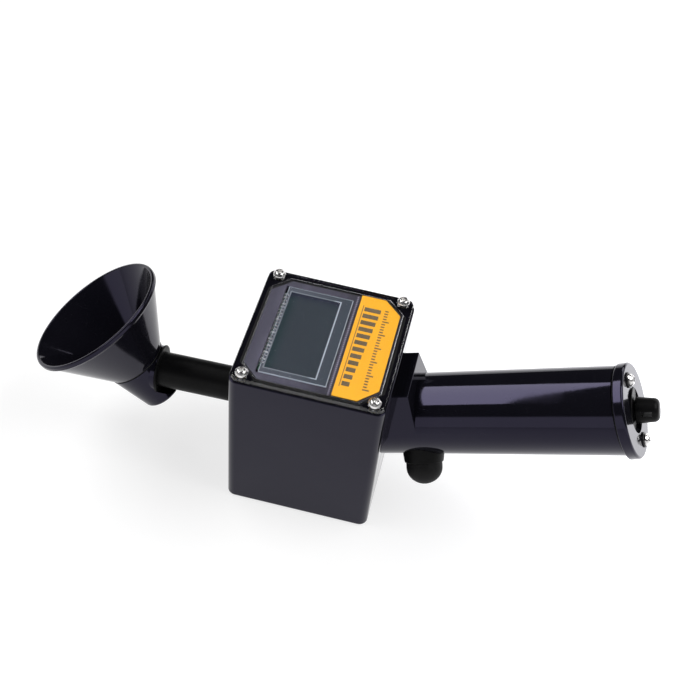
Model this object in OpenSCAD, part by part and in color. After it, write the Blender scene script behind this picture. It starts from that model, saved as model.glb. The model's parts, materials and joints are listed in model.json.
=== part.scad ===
// Hand-held conductivity milk tester: collecting cup, neck, display case and battery handle.
// Origin: centre of the case's flat bottom. +X runs along the handle, +Z out of the case's window.
// Symmetric about Y = 0 except for the push button, the end screws and the knob's slot.

/* [Case] */
// Length of the case at its rim, along the handle
case_x = 67; // [62:0.5:80]
// Width of the case at its rim
case_y = 68.6; // [66:0.5:82]
// Height of the case body, without the lid
case_h = 82.8; // [78:0.1:98]
// How much each end wall leans in from rim to bottom
draft_x = 0.6; // [0:0.1:1]
// How much each side wall leans in from rim to bottom
draft_y = 4.8; // [3:0.1:5.5]
// Wall thickness of the case
case_wall = 2.5; // [2:0.1:3]
// Thickness of the case floor
case_floor = 3; // [2:0.1:5]
// Radius of the case's upright corners
case_corner_r = 4; // [3:0.1:5]
// Inset of the bottom edge
base_edge = 1.2; // [0.5:0.1:2]

/* [Lid and display] */
// Thickness of the clear lid
lid_t = 2.8; // [2.4:0.1:4]
// Gap between the lid's edge and the case's edge
lid_inset = 0.7; // [0.3:0.1:1.2]
// Thickness of the lid over its shallow hollow
lid_skin = 1.6; // [1.2:0.1:2]
// Distance of the lid screws from the end walls' outer faces
lid_screw_dx = 5.35; // [5:0.05:7]
// Distance of the lid screws from the side walls' outer faces
lid_screw_dy = 3.65; // [3.5:0.05:6]
// Radius of the lid screws' thread
lid_screw_r = 1.45; // [1.2:0.05:1.5]
// Depth of the pocket that holds the bezel and the gasket
pocket_depth = 1; // [0.6:0.1:1.4]
// Chamfer across the pocket's corners, which clears the screw posts
pocket_chamfer = 8.6; // [8.4:0.1:9.2]
// Width of the lid gasket
gasket_w = 1.4; // [1:0.1:1.6]
// Thickness of the display bezel
bezel_t = 1.5; // [1.2:0.1:1.8]
// Length of the display glass, across the handle
glass_y = 53; // [40:1:53]
// Width of the display glass, along the handle
glass_x = 29.2; // [24:0.2:31]
// Distance from the case's centre line to the display glass's left edge
glass_left = 22.4; // [20:0.1:23]
// Width of the dark viewing area
view_x = 21.9; // [16:0.1:22]
// Length of the dark viewing area
view_y = 46.4; // [30:0.2:48]
// Left edge of the label plate, from the case's centre line
label_left = 9.8; // [9:0.1:14]
// Width of the label plate
label_x = 18.6; // [10:0.1:19]
// Length of the label plate
label_y = 61; // [40:0.5:61]

/* [Neck and cup] */
// Height of the neck's axis where it leaves the case
neck_z = 42.3; // [36:0.1:50]
// Outer radius of the neck tube
neck_r = 8; // [7:0.1:9]
// Bore radius of the neck tube
neck_bore_r = 5.5; // [5:0.1:6]
// How far the neck slopes down towards the cup, in degrees
neck_droop = 1.6; // [0:0.1:3]
// Length of the neck between the case and the cup's collar
neck_len = 39.8; // [36:0.1:60]
// Lean of the cup's axis from upright, in degrees
cup_lean = 37.8; // [34:0.1:42]
// Outer radius of the cup's rim
cup_rim_r = 32.3; // [28:0.1:38]
// Depth of the funnel from the rim to the seam
cup_depth = 30.2; // [28:0.1:34]
// Outer radius of the funnel at the seam
cup_seam_r = 13.85; // [13:0.05:15]
// Length of the closed stub below the seam
stub_len = 21.9; // [20:0.1:26]
// Radius of the stub's end
stub_end_r = 9.35; // [8:0.05:11]
// Wall thickness of the funnel
cup_wall = 2; // [1.6:0.1:2.6]

/* [Handle] */
// Tilt of the handle above the case's bottom plane, in degrees
handle_tilt = 20.3; // [16:0.1:24]
// Height of the handle's axis at its reference point
handle_z = 50; // [46:0.1:56]
// Radius of the handle at the case
handle_r1 = 17.7; // [17.6:0.05:20]
// Radius of the handle at its end
handle_r2 = 19.1; // [18:0.05:21]
// Length of the handle from its reference point to the end face's centre
handle_len = 98.4; // [96:0.1:125]
// Bore radius of the handle, which takes the battery
handle_bore_r = 16.2; // [16.1:0.05:16.4]
// Length of the mounting lug past the reference point
lug_len = 7.2; // [6:0.1:9]
// Half width of the lug's flat top
lug_half_w = 13.5; // [12:0.1:15]
// Height of the lug's flat top above the handle's axis
lug_top = 24.2; // [22:0.1:26]
// Slant of the end face from square, in degrees
face_slant = 8.7; // [0:0.1:10]
// Radius of the end cap
cap_r = 20.5; // [19.6:0.1:23]
// Thickness of the end cap
cap_t = 4.6; // [4:0.1:6]
// Distance of the end screws from the cap's centre
cap_screw_rho = 14.5; // [13.8:0.1:15]
// Angle of the end screws about the cap's centre, in degrees
cap_screw_turn = 16.5; // [0:0.5:30]

/* [Knob] */
// Radius of the knob at its root
knob_r1 = 5.6; // [5.2:0.1:8]
// Radius of the knob at its tip
knob_r2 = 4.9; // [4.4:0.1:6.5]
// Length of the knob's grip
knob_len = 9.8; // [8.5:0.1:16]
// Radius of the knob's flange
knob_flange_r = 9.5; // [8.5:0.1:10.5]
// Radius of the knob's stud
stud_r = 2.5; // [2:0.05:3]

/* [Push button] */
// Place of the button along the handle
button_s = 5.6; // [5.4:0.1:9]
// Angle of the button round the handle from straight down, in degrees
button_turn = 40; // [20:1:50]
// Radius of the rubber boot
boot_r = 8; // [6.6:0.1:8.5]
// Height of the boot's tip above the handle's surface
boot_rise = 13.7; // [12:0.1:16]
// Travel of the button
button_travel = 1.5; // [1:0.1:1.6]
// Radius of the switch body
switch_r = 5.2; // [4.6:0.1:5.4]

/* [Battery and boards] */
// Battery length, without its terminals
battery_len = 46.5; // [46:0.1:47]
// Battery width
battery_w = 26.2; // [25.8:0.1:26.5]
// Battery thickness
battery_t = 17; // [16.5:0.1:17.2]
// Height of the main board above the case's bottom
board_z = 24; // [20:0.5:28]
// Length of the main board along the handle
board_x = 54; // [48:0.5:55]
// Width of the main board
board_y = 50; // [46:0.5:51]

/* [Fits] */
// Running clearance of a shaft in its hole, on the radius
run = 0.05; // [0.02:0.01:0.1]
// Gap round a piece that drops into a pocket
gap = 0.2; // [0.1:0.05:0.3]

/* [Hidden] */
$fn = 96;
eps = 0.01;
over = 1;
soft_fn = 32;
black = [0.05, 0.05, 0.06];
rubber = [0.1, 0.1, 0.1];
steel = [0.75, 0.75, 0.77];
brass = [0.8, 0.65, 0.3];
board_green = [0.1, 0.35, 0.2];
root2 = sqrt(2);

// Lid stack, from the rim up
lid_top = case_h + lid_t;
lid_roof = lid_top - lid_skin;
shelf_z = case_h - pocket_depth;
shelf_t = 3;
shelf_w = 3.2;
post_len = 22;
insert_r = 2.1;
insert_len = 5;
screw_x = case_x/2 - lid_screw_dx;
screw_y = case_y/2 - lid_screw_dy;
pocket_hx = case_x/2 - case_wall;
pocket_hy = case_y/2 - case_wall;
bezel_inset = gasket_w + gap;
lid_border_x = 3.1;
lid_border_y = 2.3;
lid_chamfer = pocket_chamfer - 1.4;
label_t = 0.3;
label_cut = 7.8;
glass_t = 1.7;
film_t = 0.1;
lcd_board_t = 1.6;
view_inset = 1.9;
pin_pitch = 2;
pin_count = 22;
pin_w = 0.7;
pin_t = 0.3;
pin_reach = 1.2;
pin_gap = 0.5;
pan_r = 2.8;
pan_h = 2.2;

// Case wall at a height
function wall_x(z) = case_x/2 - draft_x*(case_h - z)/(case_h - base_edge);
function wall_y(z) = case_y/2 - draft_y*(case_h - z)/(case_h - base_edge);
wall_lean = atan(draft_x/(case_h - base_edge));

// Neck and cup
neck_start = -12;
neck_spigot = 2.6;
neck_gasket_r = neck_r + 3.5;
neck_gasket_t = 1.2;
neck_seat = case_x/2 - wall_x(neck_z) + case_wall + neck_gasket_r*tan(neck_droop + wall_lean);
collar_t = 0.9;
collar_over = 2.9;
spot_face = 12;
cross_s = neck_len + 10.5;
cross_depth = cup_depth + 2.5;
cross_x = -case_x/2 - cross_s*cos(neck_droop);
cross_z = neck_z - cross_s*sin(neck_droop);
cup_x = cross_x - cross_depth*sin(cup_lean);
cup_z = cross_z + cross_depth*cos(cup_lean);
rim_h = 2;
rim_bead = 1.5;
chamber_r = 5.5;
chamber_depth = 4.8;
seal_t = 0.6;
funnel_in_r = cup_seam_r - cup_wall - 2.4;
electrode_r = 1.6;
electrode_y = 2.7;
electrode_len = 5;
electrode_proud = 1;
lead_r = 0.6;

// Handle and end cap
handle_x = case_x/2 + 8;
gasket_t = 0.6;
tube_end = cap_t + gasket_t;
spigot_depth = 2;
spigot_r = handle_bore_r - gap - (tube_end + spigot_depth)*sin(face_slant);
channel_r = 4.6;
channel_len = 14;
wire_z = handle_z - 8*tan(handle_tilt);
block_screw_len = 6;
board_t = 1.6;
board_top = board_z + board_t;
block_screws = [[-8, handle_z + 18.2], [8, handle_z + 18.2], [-6, handle_z - 14],
    [6, handle_z - 14]];
seat = -1.4;
flange_t = 0.8;
knob_neck = 0.6;
battery_s = button_s + 13.5;

// Outer radius of the handle at a place along it
function tube_r(s) = handle_r1 + (handle_r2 - handle_r1)*s/handle_len;

// Push button, heights along its own axis from the handle's axis
collar_top = handle_r1 + 3.9;
collar_r = boot_r + 1.1;
boot_tip = handle_r1 + boot_rise;
boot_foot = tube_r(button_s + boot_r) + button_travel + 0.3;
boot_hollow_r = boot_r - 1.7;
boot_hollow_top = handle_r1 + 6.5;
plunger_r = 2.4;
plunger_foot = 12.5;
switch_low = 3;
bushing_r = 4;
nut_r = 5.8;
nut_foot = tube_r(button_s + nut_r) + run;
nut_top = nut_foot + 1.5;

function octagon(hx, hy, c) = [[hx - c, -hy], [hx, -hy + c], [hx, hy - c], [hx - c, hy],
    [-hx + c, hy], [-hx, hy - c], [-hx, -hy + c], [-hx + c, -hy]];
// The same octagon moved in by d, its chamfers included
function inset(hx, hy, c, d) = octagon(hx - d, hy - d, c - (2 - root2)*d);
function at_handle(s, up, y) = [handle_x + s*cos(handle_tilt) - up*sin(handle_tilt), y,
    handle_z + s*sin(handle_tilt) + up*cos(handle_tilt)];
function at_neck(s, up, y) = [-case_x/2 - s*cos(neck_droop), y,
    neck_z - s*sin(neck_droop) + up];
function at_button(y, out) = at_handle(button_s, -out*cos(button_turn) - y*sin(button_turn),
    y*cos(button_turn) - out*sin(button_turn));

module in_handle() {
    translate([handle_x, 0, handle_z]) rotate([0, 90 - handle_tilt, 0]) children();
}
module in_face() {
    in_handle() translate([0, 0, handle_len]) rotate([0, -face_slant, 0]) children();
}
module in_button() {
    in_handle() translate([0, 0, button_s]) rotate([0, 0, -button_turn]) rotate([0, 90, 0])
        children();
}
module in_neck() {
    translate([-case_x/2, 0, neck_z]) rotate([0, -90 - neck_droop, 0]) children();
}
module in_cup() {
    translate([cup_x, 0, cup_z]) rotate([0, -cup_lean, 0]) children();
}
module at_corners(x, y) {
    for (sx = [-1, 1], sy = [-1, 1]) translate([sx*x, sy*y, 0]) children();
}
module rounded_slab(hx, hy, r) {
    linear_extrude(eps)
        union() {
            square([2*(hx - r), 2*hy], center = true);
            square([2*hx, 2*(hy - r)], center = true);
            at_corners(hx - r, hy - r) circle(r, $fn = soft_fn);
        }
}
module plate(points, low, high) {
    translate([0, 0, low]) linear_extrude(high - low) polygon(points);
}
module ring(r_out, r_in, low, high) {
    translate([0, 0, low])
        difference() {
            cylinder(h = high - low, r = r_out);
            translate([0, 0, -over]) cylinder(h = high - low + 2*over, r = r_in);
        }
}
module rod(a, b, r) {
    v = b - a;
    translate(a) rotate([0, acos(v.z/norm(v)), atan2(v.y, v.x)])
        cylinder(h = norm(v), r = r, $fn = soft_fn);
}
// Round wire along a list of points, with a ball at each bend and the rods stopping inside the balls
module wire(points, r) {
    last = len(points) - 2;
    for (i = [0 : last]) {
        step = (points[i + 1] - points[i])/norm(points[i + 1] - points[i])*r*0.35;
        rod(points[i] + (i > 0 ? step : 0*step), points[i + 1] - (i < last ? step : 0*step), r);
    }
    for (i = [1 : last]) translate(points[i]) sphere(r*1.3, $fn = soft_fn);
}
// The end of a wire that stands upright on the main board
function board_joint(x, y) = [[x, y, board_top + 5], [x, y, board_top]];
// Pan head screw, its head's seat at z = 0 and its shank below
module pan_screw(r, length, head_r, head_h) {
    slot = head_r*0.28;
    difference() {
        union() {
            translate([0, 0, -length]) cylinder(h = length + eps, r = r);
            rotate_extrude()
                polygon([[0, 0], [head_r, 0], [head_r, head_h*0.35], [head_r*0.85, head_h*0.75],
                    [head_r*0.5, head_h], [0, head_h]]);
        }
        for (turn = [0, 90]) rotate([0, 0, turn])
            translate([-head_r*0.6, -slot/2, head_h*0.45]) cube([head_r*1.2, slot, head_h]);
    }
}

module case_shell() {
    color(black) {
        difference() {
            hull() {
                rounded_slab(wall_x(base_edge) - base_edge, wall_y(base_edge) - base_edge,
                    case_corner_r - base_edge);
                translate([0, 0, base_edge])
                    rounded_slab(wall_x(base_edge), wall_y(base_edge), case_corner_r);
                translate([0, 0, case_h - eps]) rounded_slab(case_x/2, case_y/2, case_corner_r);
            }
            difference() {
                case_cavity();
                at_corners(screw_x, screw_y)
                    translate([0, 0, case_h - post_len]) cylinder(h = post_len, r = 4.4);
                at_corners(board_x/2 - 5, board_y/2 - 5) cylinder(h = board_z, r = 3.5);
            }
            plate(inset(pocket_hx, pocket_hy, pocket_chamfer, bezel_inset + shelf_w),
                shelf_z - shelf_t - over, case_h);
            plate(octagon(pocket_hx, pocket_hy, pocket_chamfer), shelf_z, case_h + over);
            at_corners(screw_x, screw_y) {
                translate([0, 0, case_h - insert_len]) cylinder(h = insert_len + over, r = insert_r);
                translate([0, 0, case_h - 14]) cylinder(h = 14, r = lid_screw_r + 0.1);
            }
            at_corners(board_x/2 - 5, board_y/2 - 5)
                translate([0, 0, board_z - 8]) cylinder(h = 8 + over, r = 1.2);
            in_neck() translate([0, 0, -case_wall - 3]) cylinder(h = case_wall + 6, r = neck_r + 0.1);
            translate([case_x/2 - case_wall - 3, 0, wire_z]) rotate([0, 90, 0])
                cylinder(h = case_wall + 6, r = 5.2);
            for (p = block_screws) translate([case_x/2 - case_wall - 3, p[0], p[1]])
                rotate([0, 90, 0]) cylinder(h = case_wall + 6, r = 1.6);
        }
    }
}
module case_cavity() {
    top = shelf_z - shelf_t;
    hull() {
        translate([0, 0, case_floor])
            rounded_slab(wall_x(case_floor) - case_wall, wall_y(case_floor) - case_wall, 1.5);
        translate([0, 0, top - eps])
            rounded_slab(wall_x(top) - case_wall, wall_y(top) - case_wall, 1.5);
    }
}
module case_gasket() {
    color(rubber)
        difference() {
            plate(octagon(pocket_hx, pocket_hy, pocket_chamfer), shelf_z, case_h);
            plate(inset(pocket_hx, pocket_hy, pocket_chamfer, gasket_w), shelf_z - over,
                case_h + over);
        }
}
module lid() {
    hx = case_x/2 - lid_inset;
    hy = case_y/2 - lid_inset;
    r = case_corner_r - lid_inset;
    color([0.85, 0.9, 0.95, 0.3])
        difference() {
            translate([0, 0, case_h]) scale([1, 1, lid_t/eps]) rounded_slab(hx, hy, r);
            plate(octagon(hx - lid_border_x, hy - lid_border_y, lid_chamfer),
                case_h - over, lid_roof);
            at_corners(screw_x, screw_y) translate([0, 0, case_h - over])
                cylinder(h = lid_t + 2*over, r = lid_screw_r + 0.15);
        }
}
module lid_screws() {
    color(steel) at_corners(screw_x, screw_y) translate([0, 0, lid_top])
        pan_screw(lid_screw_r, lid_t + insert_len, pan_r, pan_h);
}
module lid_inserts() {
    color(brass) at_corners(screw_x, screw_y)
        ring(insert_r, lid_screw_r + run, case_h - insert_len, case_h);
}
module label_plate() {
    right = label_left + label_x;
    hy = label_y/2;
    color([0.95, 0.72, 0.08])
        plate([[label_left, -hy], [right - label_cut, -hy], [right, -hy + label_cut],
            [right, hy - label_cut], [right - label_cut, hy], [label_left, hy]],
            lid_roof - label_t, lid_roof);
}
module display_bezel() {
    color([0.3, 0.3, 0.34])
        difference() {
            plate(inset(pocket_hx, pocket_hy, pocket_chamfer, bezel_inset), shelf_z,
                shelf_z + bezel_t);
            translate([-glass_left - pin_gap - pin_t - 0.3, -glass_y/2 - gap, shelf_z - over])
                cube([glass_x + pin_gap + pin_t + 0.3 + gap, glass_y + 2*gap, bezel_t + 2*over]);
            bezel_screw_places() translate([0, 0, shelf_z - over]) cylinder(h = 1 + over, r = 0.9);
        }
}
module bezel_screw_places() {
    x = glass_x - glass_left + 6;
    for (y = [-1, 1]) for (dx = [0, 8]) translate([x + dx, y*16, 0]) children();
}
module lcd_glass() {
    color([0.55, 0.58, 0.62, 0.9])
        translate([-glass_left, -glass_y/2, shelf_z]) cube([glass_x, glass_y, glass_t]);
}
module lcd_film() {
    color([0.2, 0.23, 0.26])
        translate([-glass_left + view_inset, -view_y/2, shelf_z + glass_t])
            cube([view_x, view_y, film_t]);
}
module lcd_pins() {
    low = shelf_z - lcd_board_t - 1;
    high = shelf_z + glass_t + pin_t;
    color(steel)
        for (i = [0 : pin_count - 1])
            translate([-glass_left - pin_gap - pin_t, (i - (pin_count - 1)/2)*pin_pitch - pin_w/2, 0])
                union() {
                    translate([0, 0, low]) cube([pin_t, pin_w, high - low]);
                    translate([0, 0, high - pin_t]) cube([pin_gap + pin_t + pin_reach, pin_w, pin_t]);
                }
}
module lcd_board() {
    color(board_green)
        difference() {
            plate(inset(pocket_hx, pocket_hy, pocket_chamfer, bezel_inset + shelf_w + 0.4),
                shelf_z - lcd_board_t, shelf_z);
            for (i = [0 : pin_count - 1])
                translate([-glass_left - pin_gap - pin_t - 0.1,
                    (i - (pin_count - 1)/2)*pin_pitch - pin_w/2 - 0.1, shelf_z - lcd_board_t - over])
                    cube([pin_t + 0.2, pin_w + 0.2, lcd_board_t + 2*over]);
            bezel_screw_places() translate([0, 0, shelf_z - lcd_board_t - over])
                cylinder(h = lcd_board_t + 2*over, r = 1.1);
        }
}
module bezel_screws() {
    color(steel) bezel_screw_places() translate([0, 0, shelf_z - lcd_board_t]) mirror([0, 0, 1])
        pan_screw(0.85, lcd_board_t + 0.8, 1.8, 1.2);
}
socket_x = 14;
socket_h = 3;
module ribbon_sockets() {
    color([0.9, 0.9, 0.85]) {
        translate([socket_x - 3, -7, shelf_z - lcd_board_t - socket_h]) cube([6, 14, socket_h]);
        translate([socket_x - 3, -7, board_top]) cube([6, 14, socket_h]);
    }
}
module ribbon_cable() {
    low = board_top + socket_h;
    high = shelf_z - lcd_board_t - socket_h;
    bow = 5;
    steps = 12;
    function mid(i) = [socket_x + bow*(1 - cos(360*i/steps))/2, low + (high - low)*i/steps];
    color([0.5, 0.5, 0.55])
        rotate([90, 0, 0]) translate([0, 0, -5.5]) linear_extrude(11)
            polygon([for (i = [0 : steps]) mid(i) - [0.4, 0], for (i = [steps : -1 : 0]) mid(i) + [0.4, 0]]);
}
module main_board() {
    color(board_green)
        difference() {
            translate([-board_x/2, -board_y/2, board_z]) cube([board_x, board_y, board_t]);
            at_corners(board_x/2 - 5, board_y/2 - 5)
                translate([0, 0, board_z - over]) cylinder(h = 4, r = 1.5);
        }
}
module board_screws() {
    color(steel) at_corners(board_x/2 - 5, board_y/2 - 5) translate([0, 0, board_top])
        pan_screw(1.15, 7, 2.4, 1.6);
}
module board_chips() {
    color([0.12, 0.12, 0.13]) {
        translate([-6, -14, board_top]) cube([12, 12, 2]);
        translate([-8, 6, board_top]) cube([10, 4, 1.8]);
        translate([-8, 13, board_top]) cube([10, 4, 1.8]);
    }
}
module buzzer() {
    color(black) translate([-16, -10, board_top])
        difference() {
            cylinder(h = 8.5, r = 6);
            translate([0, 0, 7]) cylinder(h = 3, r = 1.2);
        }
}
module wire_grommet() {
    x = wall_x(wire_z);
    color(rubber) translate([x - case_wall, 0, wire_z]) rotate([0, 90, 0]) {
        ring(5.1, 3.6, 0, case_wall - 0.1);
        ring(6.6, 3.6, -1.2, -0.1);
        ring(5.1, 3.6, -0.2, 0.1);
    }
}

module neck_tube() {
    color(rubber) in_neck() ring(neck_r, neck_bore_r, neck_start, neck_len + neck_spigot);
}
module neck_gasket() {
    color([0.2, 0.2, 0.2]) in_neck()
        ring(neck_gasket_r, neck_r + run, -neck_seat - neck_gasket_t, -neck_seat);
}
module neck_nut() {
    color(black) in_neck() translate([0, 0, -neck_seat - neck_gasket_t - 5])
        difference() {
            cylinder(h = 5, r = neck_r + 4.8, $fn = 6);
            translate([0, 0, -over]) cylinder(h = 5 + 2*over, r = neck_r + run);
        }
}
module neck_collar() {
    color(black) in_neck() ring(neck_r + collar_over, neck_r + run, neck_len - collar_t, neck_len);
}
module cup() {
    d = cup_depth;
    top_r = cup_rim_r - rim_bead;
    color(black) in_cup()
        rotate_extrude()
            polygon([[cup_seam_r, -d], [top_r, -rim_h - 1], [cup_rim_r, -rim_h], [cup_rim_r, -0.5],
                [cup_rim_r - 0.5, 0], [top_r + 0.2, 0], [top_r - 0.3, -0.6], [funnel_in_r, -d]]);
}
module cup_seal() {
    color(rubber) in_cup() ring(cup_seam_r - 0.25, funnel_in_r, -cup_depth - seal_t, -cup_depth);
}
module cup_base() {
    top = -cup_depth - seal_t;
    low = -cup_depth - stub_len;
    floor_z = -cup_depth - chamber_depth;
    edge = 2.2;
    color(black)
        difference() {
            union() {
                in_cup() rotate_extrude()
                    polygon(concat([[0, top], [cup_seam_r, top]],
                        [for (a = [0 : 15 : 90]) [stub_end_r - edge + edge*cos(a),
                            low + edge - edge*sin(a)]], [[0, low]]));
                intersection() {
                    in_neck() translate([0, 0, neck_len]) cylinder(h = 14, r = neck_r + collar_over - 0.4);
                    in_cup() translate([0, 0, low]) cylinder(h = top - low, r = 30);
                    in_neck() translate([0, 0, neck_len]) cylinder(h = 9.5, r = 20);
                }
            }
            in_cup() translate([0, 0, floor_z])
                cylinder(h = top - floor_z + eps, r1 = chamber_r, r2 = funnel_in_r);
            in_neck() translate([0, 0, neck_len - spot_face])
                cylinder(h = spot_face, r = neck_r + collar_over + run);
            in_neck() translate([0, 0, neck_len - over])
                cylinder(h = neck_spigot + over, r = neck_r + run);
            for (side = [-1, 1]) {
                in_cup() translate([0, side*electrode_y, floor_z - electrode_len])
                    cylinder(h = electrode_len + over, r = electrode_r);
                rod(electrode_foot(side), lead_bend(side)*1.5 - electrode_foot(side)*0.5, lead_r + 0.3);
            }
        }
}
function in_cup_point(depth, y) = [cup_x + depth*sin(cup_lean), y, cup_z - depth*cos(cup_lean)];
function electrode_foot(side) =
    in_cup_point(cup_depth + chamber_depth + electrode_len - 0.8, side*electrode_y);
function lead_bend(side) = at_neck(neck_len + neck_spigot - 1.5, -3.6, side*electrode_y);
module electrodes() {
    floor_z = -cup_depth - chamber_depth;
    color(steel) in_cup() for (side = [-1, 1])
        translate([0, side*electrode_y, floor_z - electrode_len])
            cylinder(h = electrode_len + electrode_proud, r = electrode_r - 0.02);
}
module electrode_leads() {
    color([0.6, 0.1, 0.1]) for (side = [-1, 1])
        difference() {
            wire(concat([electrode_foot(side), lead_bend(side), at_neck(-14, -3.6, side*electrode_y)],
                board_joint(-board_x/2 + 12, side*electrode_y)), lead_r);
            in_cup() translate([0, side*electrode_y, -cup_depth - chamber_depth - electrode_len])
                cylinder(h = electrode_len, r = electrode_r);
        }
}

// Outline across the handle's root: a circle with a flat-topped lug tangent to it
module lug_outline() {
    reach = norm([lug_half_w, lug_top]);
    turn = atan(lug_half_w/lug_top) + acos(handle_r1/reach);
    side = handle_r1*sin(turn);
    rise = handle_r1*cos(turn);
    circle(handle_r1);
    polygon([[-lug_top, -lug_half_w], [-lug_top, lug_half_w], [-rise, side], [-rise, -side]]);
}
module tube_outer() {
    cylinder(h = handle_len, r1 = handle_r1, r2 = handle_r2);
}
module cap_screw_places() {
    for (side = [-1, 1]) rotate([0, 0, -cap_screw_turn]) translate([side*cap_screw_rho, 0, 0]) children();
}
module handle_shell() {
    color(black)
        difference() {
            in_handle()
                union() {
                    translate([0, 0, -24]) linear_extrude(24 + lug_len) lug_outline();
                    difference() {
                        tube_outer();
                        translate([0, 0, lug_len/2]) cylinder(h = handle_len, r = handle_bore_r);
                    }
                    intersection() {
                        tube_outer();
                        translate([0, 0, handle_len]) rotate([0, -face_slant, 0])
                            for (side = [0, 180]) rotate([0, 0, side - cap_screw_turn])
                                translate([cap_screw_rho, 0, -tube_end - 7]) {
                                    cylinder(h = 7, r = 3);
                                    translate([0, -2.9, 0]) cube([8, 5.8, 7]);
                                }
                    }
                }
            in_handle() cylinder(h = handle_len - 14, r = handle_bore_r);
            in_handle() translate([0, 0, -channel_len]) cylinder(h = channel_len + over, r = channel_r);
            translate([case_x/2 + eps, 0, case_h]) rotate([0, wall_lean, 0])
                translate([-60, -40, -120]) cube([60, 80, 160]);
            in_face() translate([-40, -40, -tube_end]) cube([80, 80, 40]);
            in_face() cap_screw_places() translate([0, 0, -tube_end - 6]) cylinder(h = 8, r = 1.45);
            in_button() translate([0, 0, 10]) cylinder(h = 12, r = bushing_r + 0.1);
            for (p = block_screws) translate([wall_x(p[1]) - over, p[0], p[1]]) rotate([0, 90, 0])
                cylinder(h = block_screw_len + over + 0.5, r = 1.5);
        }
}
module handle_screws() {
    color(steel) for (p = block_screws)
        translate([wall_x(p[1]) - case_wall - gap, p[0], p[1]]) rotate([0, -90, 0])
            pan_screw(1.45, block_screw_len + case_wall, pan_r, 2);
}
module end_gasket() {
    color(rubber) in_face() ring(handle_r2 - 0.1, handle_bore_r + 0.4, -tube_end, -cap_t);
}
module end_cap() {
    edge = 1;
    color(black)
        difference() {
            union() {
                in_face() rotate_extrude()
                    polygon([[0, -cap_t], [cap_r - 0.5, -cap_t], [cap_r, -cap_t + 0.5],
                        [cap_r, -edge], [cap_r - edge, 0], [0, 0]]);
                in_face() ring(spigot_r, spigot_r - 1.8, -tube_end - spigot_depth, -cap_t + 0.2);
            }
            in_handle() translate([0, 0, handle_len + seat]) cylinder(h = 6, r = knob_flange_r + gap);
            in_handle() translate([0, 0, handle_len - 12]) cylinder(h = 20, r = stud_r + run);
            in_face() cap_screw_places() {
                translate([0, 0, -cap_t - over]) cylinder(h = cap_t + 2*over, r = 1.6);
                translate([0, 0, -tube_end - 8]) cylinder(h = 8 + gasket_t, r = 3.3);
            }
        }
}
module end_washers() {
    color([0.1, 0.1, 0.1]) in_face() cap_screw_places() ring(3.3, 1.6, 0, 0.6);
}
module end_screws() {
    color(steel) in_face() cap_screw_places() translate([0, 0, 0.6])
        pan_screw(1.4, cap_t + 5.5, 2.7, 2);
}
knob_root = seat + run;
grip_root = knob_root + flange_t + knob_neck;
module knob() {
    tip = grip_root + knob_len;
    round_r = 2;
    color(rubber) in_handle() translate([0, 0, handle_len])
        difference() {
            union() {
                translate([0, 0, knob_root]) cylinder(h = flange_t, r = knob_flange_r);
                translate([0, 0, knob_root]) cylinder(h = flange_t + knob_neck + eps, r = knob_r1 - 1.2);
                rotate_extrude()
                    polygon(concat([[0, grip_root], [knob_r1, grip_root]],
                        [for (a = [0 : 15 : 90]) [knob_r2 - round_r + round_r*cos(a),
                            tip - round_r + round_r*sin(a)]], [[0, tip]]));
            }
            rotate([0, 0, 180 + 65]) translate([-10, -1, grip_root + 2.6]) cube([20, 2, 4.4]);
            translate([0, 0, knob_root - over])
                cylinder(h = grip_root + 2 - knob_root + over, r = stud_r);
        }
}
clip_low = -cap_t - 2.6;
module knob_stud() {
    color(steel) in_handle() translate([0, 0, handle_len + clip_low])
        cylinder(h = grip_root + 2 - clip_low, r = stud_r);
}
module knob_clip() {
    color(steel) in_handle() translate([0, 0, handle_len]) ring(4.6, stud_r, clip_low + 0.2, clip_low + 1.6);
}
module battery() {
    color([0.25, 0.27, 0.3]) in_handle() rotate([0, 0, -cap_screw_turn])
        translate([-battery_t/2, -battery_w/2, battery_s]) cube([battery_t, battery_w, battery_len]);
}
module battery_terminals() {
    color(steel) in_handle() rotate([0, 0, -cap_screw_turn]) for (side = [-1, 1])
        translate([0, side*6.35, battery_s - 3]) cylinder(h = 3, r = side > 0 ? 4 : 3);
}
module battery_snap() {
    color(black) in_handle() rotate([0, 0, -cap_screw_turn])
        difference() {
            translate([-battery_t/2 + 2, -battery_w/2 + 1, battery_s - 6])
                cube([battery_t - 4, battery_w - 2, 5.5]);
            for (side = [-1, 1]) translate([0, side*6.35, battery_s - 3.2]) cylinder(h = 4, r = 4.3);
        }
}
module battery_leads() {
    color([0.7, 0.1, 0.1]) for (side = [-1, 1])
        wire(concat([at_handle(battery_s - 6, 5, side*4), at_handle(battery_s - 8.5, 5, side*4),
            at_handle(0, 1.2, side*1.4), [case_x/2 - 9, side*1.4, wire_z + 1.2]],
            board_joint(board_x/2 - 9, side*3)), lead_r);
}
module battery_foam() {
    color([0.25, 0.25, 0.25]) in_handle()
        translate([0, 0, battery_s + battery_len])
            cylinder(h = handle_len - tube_end - 3 - battery_s - battery_len, r = 8.5);
}

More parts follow.
